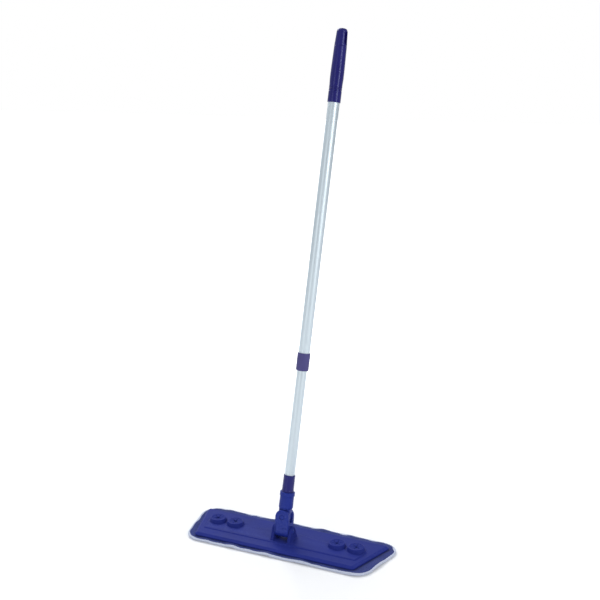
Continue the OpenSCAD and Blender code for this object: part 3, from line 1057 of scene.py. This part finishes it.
    def _rings(self, inset: float, count: int) -> Array:
        """Flat rings (count, around, 2) that close in from the outline to the middle line."""
        start = self.edge - self.outward * inset
        reach = self.short_edge / 2 - self.depth / 2
        middle = np.stack([self.centre[0] + np.clip(start[:, 0] - self.centre[0], -reach, reach),
                           np.full(len(start), self.centre[1])], -1)
        share = np.linspace(0, 1, count)[:, None, None]
        return start + (middle - start) * share

    def _raised(self, flat: Array, height: Array) -> Array:
        """Flat places (..., 2) with their heights, lifted as the rim is there."""
        return np.concatenate([flat, (height + self.lift(flat[..., 0], flat[..., 1]))[..., None]], -1)

    def _layer(self, low: Array, high: Array, flat: Array) -> Surface:
        """A closed layer over flat rings, between two heights given at each ring point."""
        return loft(np.concatenate([self._raised(flat, low)[::-1], self._raised(flat, high)]), caps=False)

    def backing(self) -> bpy.types.Object:
        """Loop backing: level on the bed, falling away to the tape, with a few pressed creases."""
        low, high = self.levels["pad_backing"]
        flat = self._rings(self.tape - self.tuck, self.across)
        x, y = flat[..., 0], flat[..., 1]
        fall = 1 - smooth(np.linspace(0, 1, self.across) / 0.28)[:, None]
        crease = 1.4e-4 * (np.sin(x * 210 + 3 * np.sin(y * 60)) + np.sin(x * 96 - y * 150))
        bed = smooth(np.linspace(0, 1, self.across) / 0.4)[:, None]
        top = high - 0.0011 * fall + crease * (1 - bed) - 1.5e-4 * bed
        bottom = top - (high - low) * (1 - 0.3 * fall)
        return make_object("pad_backing_cloth", [self._layer(bottom, top, flat)])

    def filling(self) -> bpy.types.Object:
        """Thin quilt between backing and pile."""
        low, high = self.levels["pad_core"]
        flat = self._rings(self.tape - self.tuck / 2, 14)
        fall = 1 - smooth(np.linspace(0, 1, 14) / 0.3)[:, None]
        shape = np.zeros(flat.shape[:2])
        return make_object("pad_filling", [self._layer(low + shape, high - 0.0009 * fall + shape, flat)])

    def pile(self) -> bpy.types.Object:
        """Working face: rows of looped tufts, |sin| ridges across Y beaded along X, ending at the floor."""
        low, high = self.levels["pad_pile"]
        count = 84
        flat = self._rings(self.tape - self.tuck, count)
        x, y = flat[..., 0], flat[..., 1]
        row_pitch, bead_pitch, tuft_depth = 0.0056, 0.0068, 0.0019
        row = np.floor(y / row_pitch)
        ridge = np.abs(np.sin(np.pi * y / row_pitch)) ** 0.6
        bead = 0.72 + 0.28 * np.sin(TAU * x / bead_pitch + row * 2.4 + 0.8 * np.sin(x * 90 + row))
        edge = smooth(np.linspace(0, 1, count) / 0.10)[:, None]
        bottom = low + tuft_depth * (1 - ridge * bead) + 0.0016 * (1 - edge)
        return make_object("pad_pile_loops", [self._layer(bottom, high + 0 * x, flat)], 60)

    def _tape_section(self) -> tuple[Array, Array, float, float]:
        """The folded tape's section, a superellipse.

        Returns:
            Offsets from the outline, heights as shares of the half height, the
            middle height and the half height.
        """
        low, high = self.levels["pad_binding"]
        angle = np.linspace(0, TAU, 28, endpoint=False)
        across = -self.tape / 2 + self.tape / 2 * np.sign(np.cos(angle)) * np.abs(np.cos(angle)) ** 0.7
        rise = np.sign(np.sin(angle)) * np.abs(np.sin(angle)) ** 0.62
        return across, rise, (low + high) / 2, (high - low) / 2

    def _tape_height(self, inset: float) -> float:
        """Half height of the tape at a distance inside the outline."""
        half = self.levels["pad_binding"][1] - sum(self.levels["pad_binding"]) / 2
        share = min(1.0, abs(1 - 2 * inset / self.tape)) ** (1 / 0.7)
        return half * math.sqrt(1 - share * share) ** 0.62

    def binding(self) -> bpy.types.Object:
        """Binding tape carried round the outline, drawn in a little at each stitch."""
        across, rise, middle, half = self._tape_section()
        turn = np.arange(self.around) / self.around * TAU
        pucker = 0.5 + 0.5 * np.cos(turn * round(self.perimeter / 0.0068))
        wander = 1 + 0.05 * np.sin(turn * 9) - 0.05 * pucker
        flat = self.edge[:, None] + self.outward[:, None] * across[None, :, None]
        height = middle + half * rise[None] * wander[:, None] * (1 - 0.10 * (across[None] < -self.tape * 0.6))
        rings = self._raised(flat, height)
        return make_object("pad_binding_tape", [loft(rings, caps=False, round_trip=True)], 70)

    def stitching(self) -> bpy.types.Object:
        """Lock stitches through the tape, near its inner edge, above and below."""
        inset, pitch = 0.0056, 0.0034
        count = int(self.perimeter / pitch)
        pick = np.linspace(0, self.around, count, endpoint=False)
        i0 = pick.astype(int) % self.around
        share = (pick - pick.astype(int))[:, None]
        line = self.edge - self.outward * inset
        flat = line[i0] * (1 - share) + line[(i0 + 1) % self.around] * share
        along = np.column_stack([-self.outward[i0][:, 1], self.outward[i0][:, 0], np.zeros(count)])
        low, high = self.levels["pad_binding"]
        reach = self._tape_height(inset)
        thread = section([(0, -1.25, 0), (0.27, -0.9, 0.2), (0.27, 0.9, 0.2), (0, 1.25, 0)], 2)
        template = lathe(thread, PART.turned("x"), 6)
        rows = []
        for side in (1, -1):
            places = self._raised(flat, (low + high) / 2 + side * (reach * 0.97))
            up = np.tile([0.0, 0.0, float(side)], (count, 1))
            rows.append(scattered(template, places, along, up))
        return make_object("pad_stitches", rows)

    def build(self) -> None:
        pile = finish_piece(self.pile(), "pad", PILE, "pad_pile")
        filling = finish_piece(self.filling(), "pad", FILLING, "pad_core")
        backing = finish_piece(self.backing(), "pad", BACKING, "pad_backing")
        tape = finish_piece(self.binding(), "pad", TAPE, "pad_binding")
        finish_piece(self.stitching(), "pad", TAPE)


# ---------------------------------------------------------------------------
# Head
# ---------------------------------------------------------------------------


def millimetres(rows: Sequence) -> Array:
    """Rows of numbers in millimetres as metres."""
    return np.asarray(rows, float) * MM


def merged(name: str, parts: Sequence[bpy.types.Object]) -> bpy.types.Object:
    """One object from several, with their UV maps and sharp edges kept."""
    whole = bmesh.new()
    for part in parts:
        whole.from_mesh(part.data)
    mesh = bpy.data.meshes.new(name)
    whole.to_mesh(mesh)
    whole.free()
    for part in parts:
        bpy.data.objects.remove(part)
    return linked(name, mesh)


@dataclass
class MopPlate:
    """Moulded plate: bevelled base, raised spine, four bosses and two joint lugs."""

    long_edge: float = 0.404
    short_edge: float = 0.337
    corner: float = 0.008
    spine_top: float = 0.0145
    lug_radius: float = 0.0095
    lug_taper: float = math.radians(22)
    lug_width: float = 0.0064
    lug_gap: float = 0.029
    boss_nodes: tuple[str, ...] = (
        "cloth_grip_left_outer", "cloth_grip_left_inner", "cloth_grip_right_inner", "cloth_grip_right_outer",
    )
    strip_nodes: tuple[str, ...] = ("hook_strip_front", "hook_strip_back")

    def __post_init__(self) -> None:
        """Measures the plate's place on its CAD nodes."""
        low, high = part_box("plate")
        self.depth = high.y - low.y
        self.bottom = low.z
        self.pin = np.array(joint("tilt")["pos_m"])
        self.bosses = [np.array((sum(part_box(n), Vector()) / 2).to_tuple()) for n in self.boss_nodes]

    def base(self) -> bpy.types.Object:
        """Base: land, edge, rim, bevel and deck carried round the outline, and cut under the bosses."""
        b = self.bottom / MM
        line = section([
            (11, b + 3, 0), (6, b + 3, 0.8), (5.6, b, 0.5), (0, b, 0.5),
            (0, b + 2.7, 0.7), (1.3, b + 3.4, 0.7), (5.2, b + 6.2, 2.4), (13, b + 6.2, 0),
        ])
        outline = trapezoid(self.short_edge, self.long_edge, self.depth)
        rings = rounded_rings(outline, self.corner, line[:, 0], line[:, 1], 9)
        base = make_object("base", [loft(rings)])
        return carve(base, self._boss_wells())

    def _boss_wells(self) -> list[Surface]:
        """Cylinders cut out of the deck under the bosses."""
        low, high = self.bottom + 0.0025, self.bottom + 0.0123
        return [rod(0.0115, low, high, upright(centre), 64) for centre in self.bosses]

    def spine(self) -> bpy.types.Object:
        """Spine: a raised deck that widens behind the joint, with a fillet at its foot."""
        front, back, wide = -32, 14, 21
        right = [(163, front), (173, back), (58, back), (34, wide)]
        left = [(-x, y) for x, y in reversed(right)]
        outline = millimetres(np.roll(right + left, 1, axis=0))
        top = self.spine_top / MM
        line = section([(-2.6, top - 2.06, 0), (0.2, top - 2.0, 2.0), (2.4, top, 2.2), (8, top, 0)])
        rings = rounded_rings(outline, 7 * MM, line[:, 0], line[:, 1], 6)
        spine = make_object("spine", [loft(rings)])
        return carve(spine, self._boss_wells())

    def boss(self, centre: Array) -> Surface:
        """Boss: a cup turned about Z, with a fillet at its foot and a seat for the disc."""
        b = self.bottom / MM
        line = section([
            (0, b + 2.8, 0), (10.4, b + 2.8, 0.8), (10.4, b + 12.7, 0.4), (12.7, b + 12.7, 0.2),
            (12.7, b + 15.7, 0.4), (15.4, b + 15.7, 1.1), (18.4, b + 6.3, 1.6), (20.4, b + 6.22, 0.05),
            (20.4, b + 5.6, 0.2), (11.4, b + 2.2, 0.2), (0, b + 2.2, 0),
        ], 6)
        return lathe(line, upright(centre), 96)

    def lug(self, side: int) -> list[Surface]:
        """Lug: a tapered outline with a round head, carried along X with rounded faces, on a flared foot."""
        angle = np.linspace(self.lug_taper, np.pi - self.lug_taper, 30)
        head = np.stack([np.cos(angle), np.sin(angle)], -1) * self.lug_radius + self.pin[1:]
        foot_z = self.spine_top - 0.001
        reach, rise = head[0, 0] - self.pin[1], head[0, 1] - foot_z
        foot = reach + rise * math.tan(self.lug_taper)
        near, far = self.pin[1] - foot, self.pin[1] + foot
        outline = np.vstack([[(near, foot_z), (far, foot_z)], head])
        edge = 1.1 * MM
        turn = np.linspace(0, np.pi / 2, 6)
        inset = np.concatenate([edge * (1 - np.sin(turn)), edge * (1 - np.sin(turn[::-1]))])
        shift = np.concatenate([edge * (1 - np.cos(turn)), self.lug_width - edge * (1 - np.cos(turn[::-1]))])
        x = self.pin[0] + side * (self.lug_gap / 2 + shift)
        rings = rings_along_x(outline, x, inset)
        inner, outer = self.lug_gap / 2, self.lug_gap / 2 + self.lug_width
        low, high = sorted((self.pin[0] + side * inner, self.pin[0] + side * outer))
        ground = np.array([(low, near), (high, near), (high, far), (low, far)])
        line = section([(-2.6, -0.1, 0), (-0.3, 0.0, 1.6), (0.4, 2.6, 0.4), (1.2, 2.8, 0)])
        skirt = rounded_rings(ground, 1.0 * MM, line[:, 0], self.spine_top + line[:, 1], 4)
        return [loft(rings), loft(skirt)]

    def ribs(self) -> list[Surface]:
        """Ribs and glue lands under the deck, one across each bay and three along."""
        floor, roof = self.bottom, self.bottom + 3.6 * MM
        spine = 150 * MM
        thick = 0.0012
        made = [slab((-spine, y - thick, floor), (spine, y + thick, roof)) for y in (-0.0255, -0.001, 0.0255)]
        for x in np.linspace(-spine, spine, 13):
            made.append(slab((x - 0.0011, -0.026, floor + 2e-4), (x + 0.0011, 0.026, roof)))
        for node in self.strip_nodes:
            low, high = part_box(node)
            near, far = (low.x - 0.002, low.y - 0.002, high.z), (high.x + 0.002, high.y + 0.002, roof)
            made.append(slab(near, far, 4e-4))
        return made

    def plate(self) -> bpy.types.Object:
        """The whole moulding as one piece."""
        lugs = make_object("lugs", self.lug(1) + self.lug(-1))
        outer = self.lug_gap / 2 + self.lug_width
        along_pin = Axes(self.pin, *np.eye(3)).turned("x")
        carve(lugs, [rod(0.0052, outer - 0.0012, outer + 0.002, along_pin, 48)])
        rest = make_object("rest", [self.boss(c) for c in self.bosses] + self.ribs())
        return merged("mop_plate", [self.base(), self.spine(), lugs, rest])

    def cloth_grip(self, name: str, centre: Array, seed: int) -> bpy.types.Object:
        """Slit disc: a rim turned about Z and six flaps that sag towards the middle.

        A flap is a wedge whose sides keep half a slit's width from its
        neighbours; its top falls as (1 - r / R)^1.5.
        """
        rng = np.random.default_rng(seed)
        low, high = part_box(name)
        top, t, b = high.z, high.z / MM, low.z / MM
        rim = section([
            (9.6, b, 0.1), (12.6, b, 0.3), (12.6, t, 0.5), (11.8, t + 0.3, 0.6), (9.6, t, 0.1),
        ], 4, True)
        at = upright(centre)
        parts = [lathe(rim, at, 72, closed=True)]
        outer_r, inner_r, slit = 9.9 * MM, 1.1 * MM, 0.55 * MM
        radius = np.linspace(inner_r, outer_r, 12)[:, None]
        for flap in range(6):
            sag = (0.9 + 1.5 * rng.random()) * MM
            half = np.pi / 6 - np.arcsin(np.minimum(slit / radius, 0.5))
            angle = flap * np.pi / 3 + half * np.linspace(-1, 1, 9)
            drop = sag * (1 - radius / outer_r) ** 1.5
            crown = 0.25 * MM * (1 - np.linspace(-1, 1, 9) ** 2)
            upper = top - drop + crown - 0.1 * MM
            lower = upper - (1.1 * MM + 0.5 * MM * radius / outer_r)
            flat = np.stack([radius * np.cos(angle), radius * np.sin(angle)], -1)
            over = np.concatenate([flat, upper[..., None]], -1)
            under = np.concatenate([flat, lower[..., None]], -1)
            parts.append(loft(at.place(np.concatenate([over, under[:, ::-1]], 1))))
        return make_object(name.replace("cloth_grip", "grip_disc"), parts)

    def hook_strip(self, node: str) -> bpy.types.Object:
        """Hook strip: a thin tape with rows of mushroom hooks hanging from it."""
        low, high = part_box(node)
        hook_len, pitch = 0.6 * MM, 2.6 * MM
        tape = slab((low.x, low.y, low.z + hook_len), (high.x, high.y, high.z), 1e-4)
        x = np.arange(low.x + 1.5 * MM, high.x - 1 * MM, pitch)
        y = np.arange(low.y + 1.5 * MM, high.y - 1 * MM, pitch)
        across, along = np.meshgrid(x, y)
        odd_row = np.arange(len(y))[:, None] % 2
        across = across + pitch / 2 * odd_row * (across < high.x - 2 * MM - pitch / 2)
        places = np.stack([across.ravel(), along.ravel(), np.full(across.size, low.z)], -1)
        line = millimetres([(0, 0), (0.42, 0.06), (0.5, 0.2), (0.2, 0.28), (0.16, 0.62), (0, 0.62)])
        ways = (np.tile(axis, (len(places), 1)) for axis in (PART.x, PART.z))
        hooks = scattered(lathe(line, PART, 6), places, *ways)
        return make_object(node + "_hooks", [tape, hooks])

    def build(self) -> None:
        """Makes and dresses the head's pieces."""
        finish_piece(self.plate(), "head", PLATE_BLUE_WITH_PAINTED_SHADE, "plate")
        for seed, (node, centre) in enumerate(zip(self.boss_nodes, self.bosses)):
            disc = self.cloth_grip(node, centre, seed)
            finish_piece(disc, "head", SOFT_GRIP, node)
        for node in self.strip_nodes:
            finish_piece(self.hook_strip(node), "head", HOOK_BASE, node)


# ---------------------------------------------------------------------------
# Joint
# ---------------------------------------------------------------------------


def pin_profile(shank: float, head: float, low: float, seat: float, top: float, dome: float) -> Array:
    """Half section of a pin: shank from low to seat, then a domed head up to top."""
    tip = 4e-4
    corners = [(0, low), (shank - tip, low), (shank, low + tip), (shank, seat)]
    corners += [(head, seat), (head, top - dome), (0, top)]
    return filleted(corners, [0, 1e-4, 1e-4, 1e-5, 2e-4, 6e-4, 0], 4, False)


@dataclass
class TwoWayJoint:
    """Knuckle and pins of the universal joint."""

    half_width: float = 0.01425
    half_depth: float = 0.0135
    ear_gap: float = 0.0135
    tongue_room: float = 0.0117
    edge: float = 0.0013

    def __post_init__(self) -> None:
        """Sets the knuckle's frame on the lower pin, with Z towards the upper pin."""
        lower, upper = (np.array(joint(n)["pos_m"]) for n in ("tilt", "swing"))
        x, y = np.array([1.0, 0, 0]), np.array(joint("swing")["axis"])
        self.axes = Axes(lower, x, y, np.cross(x, y))
        self.pin_gap = float(np.linalg.norm(upper - lower))

    def envelope(self) -> Surface:
        """Outer shape: rounded rectangles stacked along Z.

        Their depth follows the round foot below the lower pin, and their width
        follows the round head above the upper pin.
        """
        foot = np.linspace(-np.pi / 2, 0, 18)
        head = np.linspace(0, np.pi / 2, 18)
        z = np.concatenate([self.half_depth * np.sin(foot), self.pin_gap + self.half_width * np.sin(head)])
        half_y = np.concatenate([self.half_depth * np.cos(foot), np.full(18, self.half_depth)])
        half_x = np.concatenate([np.full(18, self.half_width), self.half_width * np.cos(head)])
        return loft(self.axes.place(stack(half_x, np.maximum(half_y, 1e-5), z, self.edge, 5)))

    def _cutters(self) -> list[Surface]:
        """Slot for the tongue, seat of the pin's head, pin bores and the two face grooves."""
        gap, top = self.ear_gap / 2, self.pin_gap + 2 * self.half_width
        wide, face = 2 * self.half_width, self.half_depth
        lower_pin = self.axes.turned("x")
        upper_pin = self.axes.turned("z", self.pin_gap).turned("y")
        slot = self._local_slab((-wide, -gap, self.pin_gap - self.tongue_room), (wide, gap, top))
        head_seat = rod(0.0054, -face - 0.002, -face + 0.0016, upper_pin, 56)
        upper_bore = rod(0.0030, -face, face + 0.002, upper_pin, 56)
        lower_bore = rod(0.00255, -wide, wide, lower_pin, 56)
        groove = self._local_slab((-0.0122, -face - 0.001, -0.0125), (-0.0108, -face + 0.0009, 0.0125))
        notch = self._local_slab((0.0012, -face - 0.001, 0.0058), (0.0118, -face + 0.0006, 0.0067))
        return [slot, head_seat, upper_bore, lower_bore, groove, notch]

    def _local_slab(self, low: Sequence[float], high: Sequence[float]) -> Surface:
        """A block in the knuckle's frame."""
        block = slab(low, high, 1e-4)
        return Surface(self.axes.place(block.points), block.faces, block.uvs).outward()

    def build(self) -> None:
        """Makes and dresses the joint's pieces."""
        knuckle = carve(make_object("joint_knuckle", [self.envelope()]), self._cutters(), 3.5e-4)
        finish_piece(knuckle, "knuckle", JOINT_BLUE, "knuckle")
        face = self.half_depth
        pin_at = self.axes.turned("z", self.pin_gap).origin
        forward = Axes(pin_at, self.axes.x, -self.axes.z, -self.axes.y)
        shape = pin_profile(0.0030, 0.0050, -face - 0.0018, face - 0.0016, face + 0.0004, 0.0009)
        upper = lathe(shape, forward, 64)
        finish_piece(make_object("joint_upper_pin", [upper]), "knuckle", JOINT_BLUE, "upper_pin")
        low, high = (v.x - self.axes.origin[0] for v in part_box("lower_pin"))
        sideways = Axes(self.axes.origin, *np.eye(3)).turned("x")
        lower = lathe(pin_profile(0.0025, 0.0045, low, high - 0.0016, high, 0.0007), sideways, 56)
        finish_piece(make_object("joint_lower_pin", [lower]), "head", JOINT_BLUE, "lower_pin")
        dress_nodes(("lower_push_nut", "upper_push_nut", "ferrule_rivet"), STEEL)


# ---------------------------------------------------------------------------
# Pole
# ---------------------------------------------------------------------------


def pole_axes() -> Axes:
    """The pole's frame: origin on the upper pin, Z along the pole."""
    origin, y = np.array(joint("swing")["pos_m"]), np.array(joint("swing")["axis"])
    z = np.array(joint("telescope")["axis"])
    return Axes(origin, np.cross(y, z), y, z)


def sleeve(name: str, outline: Array, axes: Axes) -> bpy.types.Object:
    """A piece turned from a closed outline."""
    return make_object(name, [lathe(outline, axes, 112, closed=True)])


def pole_tube(node: str, axes: Axes) -> bpy.types.Object:
    """One of the pole's two tubes: a sleeve at its node's length and radius, with rounded ends."""
    (low, high), outer = axes.span(node), axes.reach(node)
    inner, lip = outer - 0.9 * MM, 0.3 * MM
    corners = [(inner, low), (outer, low), (outer, high), (inner, high)]
    line = filleted(corners, [lip / 2, lip, lip, lip / 2], 3)
    return sleeve("pole_" + node, line, axes)


@dataclass
class LowerPole:
    """Socket, ferrule and lower tube."""

    tongue_radius: float = 0.0113
    tongue_half: float = 0.0065

    def __post_init__(self) -> None:
        """Sets the pole's frame."""
        self.axes = pole_axes()

    def socket(self) -> bpy.types.Object:
        """Socket: a turned cup on a flat tongue whose end is round about the upper pin."""
        top = self.axes.span("socket")[1] / MM
        cup = section([
            (0, 14.9, 0), (11.5, 14.9, 0.5), (11.5, 16.7, 0.5), (13.8, 17.8, 0.9), (13.5, 40.2, 0.5),
            (14.5, 41.4, 0.6), (14.5, top, 1.2), (9.0, top, 0.4), (9.0, 22, 0.2), (0, 22, 0),
        ], 6)
        low = np.linspace(-np.pi / 2, 0, 20)
        r = self.tongue_radius
        z = np.concatenate([r * np.sin(low), [0.016]])
        half_x = np.concatenate([r * np.cos(low), [r]])
        half_y = np.full(len(z), self.tongue_half)
        tongue = loft(self.axes.place(stack(np.maximum(half_x, 1e-5), half_y, z, 8e-4, 4)))
        return make_object("pole_socket", [lathe(cup, self.axes, 112), tongue])

    def ferrule(self) -> bpy.types.Object:
        """Ferrule: a tapered sleeve with a lip at its top and a plug that screws into the socket."""
        low, top = (v / MM for v in self.axes.span("ferrule"))
        seat = self.axes.span("socket")[1] / MM
        tube_foot = 52
        line = section([
            (6, low, 0.3), (9, low, 0.5), (9, seat, 0.1), (11.75, seat, 0.8), (11.7, seat + 3, 0.4),
            (11.45, seat + 3.5, 0.4), (11.1, top - 2.6, 0.4), (11.25, top - 2.2, 0.3), (11.1, top, 0.6),
            (9.5, top, 0.2), (9.5, tube_foot, 0.1), (6, tube_foot, 0.1),
        ], 4, True)
        piece = sleeve("pole_ferrule", line, self.axes)
        rivet = self.axes.turned("z", 69 * MM).turned("y")
        return carve(piece, [rod(3.15 * MM, 10.6 * MM, 14 * MM, rivet, 40)])

    def build(self) -> None:
        """Makes and dresses the lower pole's pieces."""
        body = "lower_pole"
        finish_piece(self.socket(), body, JOINT_BLUE, "socket")
        finish_piece(self.ferrule(), body, NAVY, "ferrule")
        finish_piece(pole_tube("lower_tube", self.axes), body, ALUMINIUM, "lower_tube")
        dress_nodes(("lock_spindle", "lock_ring", "guide_bush"), NYLON)


@dataclass
class UpperPole:
    """Upper tube with its collar, grip and hang cap."""

    def __post_init__(self) -> None:
        """Sets the pole's frame and measures the tube."""
        self.axes = pole_axes()
        self.tube_radius = self.axes.reach("upper_tube")

    def collar(self) -> bpy.types.Object:
        """Lock collar: a plain sleeve, chamfered at its mouth."""
        low, high = (v / MM for v in self.axes.span("lock_collar"))
        r = self.tube_radius / MM
        line = section([
            (9.9, low, 0.3), (10.9, low, 0.4), (12.3, low + 1.4, 0.5), (12.3, high, 0.7),
            (r, high, 0.1), (r, low + 10.5, 0.1), (9.9, low + 10.5, 0.1),
        ], 4, True)
        return sleeve("pole_lock_collar", line, self.axes)

    def grip(self) -> bpy.types.Object:
        """Grip: a sleeve with a plain cuff, three rings and a palm swell that narrows to the cap."""
        low, high = (v / MM for v in self.axes.span("grip"))
        r = self.tube_radius / MM
        ring_at, pitch = low + 21, 2.8
        rows = [(r, low, 0.1), (12.3, low, 0.7), (12.3, ring_at - 0.3, 0.25)]
        for z in (ring_at, ring_at + pitch, ring_at + 2 * pitch):
            rows += [(11.75, z + 0.1, 0.15), (11.75, z + 1.1, 0.15)]
            rows += [(12.35, z + 1.3, 0.25), (12.35, z + 2.5, 0.25)]
        rows += [(12.1, ring_at + 10, 3.0), (12.75, low + 44, 20.0), (12.65, low + 62, 30.0)]
        rows += [(12.15, low + 84, 30.0), (11.75, high, 0.6), (r, high, 0.1)]
        line = section(rows, 5, True)
        return make_object("pole_grip", [lathe(line, self.axes, 128, closed=True)], 28)

    def cap(self) -> bpy.types.Object:
        """Hang cap: a turned plug and dome with a tall slot through it along X."""
        low, high = (v / MM for v in self.axes.span("hang_cap"))
        seat = self.axes.span("grip")[1] / MM
        line = section([
            (8, low, 0.4), (10.1, low, 0.5), (10.1, seat, 0.1), (11.7, seat, 0.6), (11.35, seat + 8, 8),
            (10.9, seat + 18, 12), (10.2, seat + 27, 3.0), (8.2, high, 4.5), (0, high, 1e-5),
            (0, seat - 4, 1e-5), (8, seat - 4, 0.2),
        ], 6, True)
        shell = sleeve("pole_hang_cap", line, self.axes)
        mid, half = (seat + 15) * MM, 6.0 * MM
        turn = np.linspace(0, np.pi, 28)
        upper = np.stack([half * np.cos(turn), half * np.sin(turn) + half], -1)
        oval = np.vstack([upper, -upper])
        flare = section([
            (-5.0, -14, 0), (-1.0, -10.6, 1.5), (0, -8.6, 1.5),
            (0, 8.6, 1.5), (-1.0, 10.6, 1.5), (-5.0, 14, 0),
        ])
        rings = rings_along_x(oval, flare[:, 1], flare[:, 0])
        rings[..., 2] += mid
        return carve(shell, [loft(self.axes.place(rings))])

    def build(self) -> None:
        """Makes and dresses the upper pole's pieces."""
        body = "upper_pole"
        finish_piece(pole_tube("upper_tube", self.axes), body, ALUMINIUM, "upper_tube")
        finish_piece(self.collar(), body, COLLAR_BLUE, "lock_collar")
        finish_piece(self.grip(), body, NAVY, "grip")
        finish_piece(self.cap(), body, NAVY, "hang_cap")


# ---------------------------------------------------------------------------
# Studio
# ---------------------------------------------------------------------------


@dataclass
class Studio:
    """Pale floor, soft lights and the camera."""

    azimuth: float = math.radians(25.18)
    pitch: float = math.radians(13.29)
    distance: float = 1.948
    lens: float = 60.0
    aim_from_middle: tuple[float, float, float] = (-0.0197, 0.0587, -0.0248)
    floor_half: float = 14.0

    def __post_init__(self) -> None:
        """Finds the middle of the object."""
        low, high = CAD_BOX
        self.middle = (low + high) / 2

    def camera(self) -> None:
        """Puts the camera in front, to the right and above, aimed near the pole's middle."""
        data = bpy.data.cameras.new("camera")
        data.lens, data.sensor_width = self.lens, 36.0
        view = Vector((
            -math.sin(self.azimuth) * math.cos(self.pitch), math.cos(self.azimuth) * math.cos(self.pitch),
            -math.sin(self.pitch),
        ))
        camera = linked("camera", data)
        camera.location = self.middle + Vector(self.aim_from_middle) - view * self.distance
        camera.rotation_euler = view.to_track_quat("-Z", "Y").to_euler()
        bpy.context.scene.camera = camera

    def floor(self) -> None:
        """Lays the floor."""
        floor = square("studio_floor", self.floor_half)
        floor.data.materials.append(StudioFloor().build())
        floor.location.z = -1e-4

    def light(self, name: str, place: Sequence[float], size: Sequence[float], power: float) -> None:
        """Adds a soft rectangular light that faces the object's middle.

        Args:
            name: Name of the light.
            place: Where it hangs, from the object's middle.
            size: Its width and height.
            power: Its power in watts.
        """
        data = bpy.data.lights.new(name, "AREA")
        data.shape, data.size, data.size_y, data.energy = "RECTANGLE", size[0], size[1], power
        lamp = linked(name, data)
        lamp.location = self.middle + Vector(place)
        lamp.rotation_euler = (-Vector(place)).to_track_quat("-Z", "Y").to_euler()

    def world(self) -> None:
        """White to the camera; to everything else a soft room, lighter above."""
        world = bpy.data.worlds.new("studio")
        bpy.context.scene.world = world
        world.use_nodes = True
        g = Graph(world.node_tree)
        backdrop = g.node("Background", {"Color": (1, 1, 1, 1), "Strength": 1.0})
        toward = g.node("TexCoord").outputs["Object"]
        facing = g.node("VectorMath", {0: toward, 1: (-0.45, 0.25, 0.86)}, operation="DOT_PRODUCT")
        strength = g.remap(facing.outputs["Value"], -0.6, 1.0, 0.24, 0.72)
        room = g.node("Background", {"Color": (0.93, 0.96, 1.0, 1), "Strength": strength})
        seen = g.node("LightPath").outputs["Is Camera Ray"]
        choose = g.node("MixShader", {0: seen, 1: room.outputs[0], 2: backdrop.outputs[0]})
        g.tree.links.new(choose.outputs[0], world.node_tree.nodes["World Output"].inputs[0])

    def build(self) -> None:
        """Sets the whole studio up."""
        bpy.context.scene.view_settings.view_transform = "Standard"
        self.camera()
        self.floor()
        self.world()
        self.light("key", (-1.5, 1.3, 2.0), (1.6, 1.6), 44.0)
        self.light("side", (-0.55, -2.4, 0.4), (0.25, 1.8), 6.0)
        self.light("fill", (2.4, -1.0, 0.9), (0.4, 1.8), 20.0)


def main() -> None:
    """Builds the studio and every sub-assembly."""
    logging.basicConfig(level=logging.INFO, format="%(message)s")
    Studio().build()
    for assembly in (MopPad, MopPlate, TwoWayJoint, LowerPole, UpperPole):
        log.info("building %s", assembly.__name__)
        assembly().build()


if __name__ == "__main__":
    main()
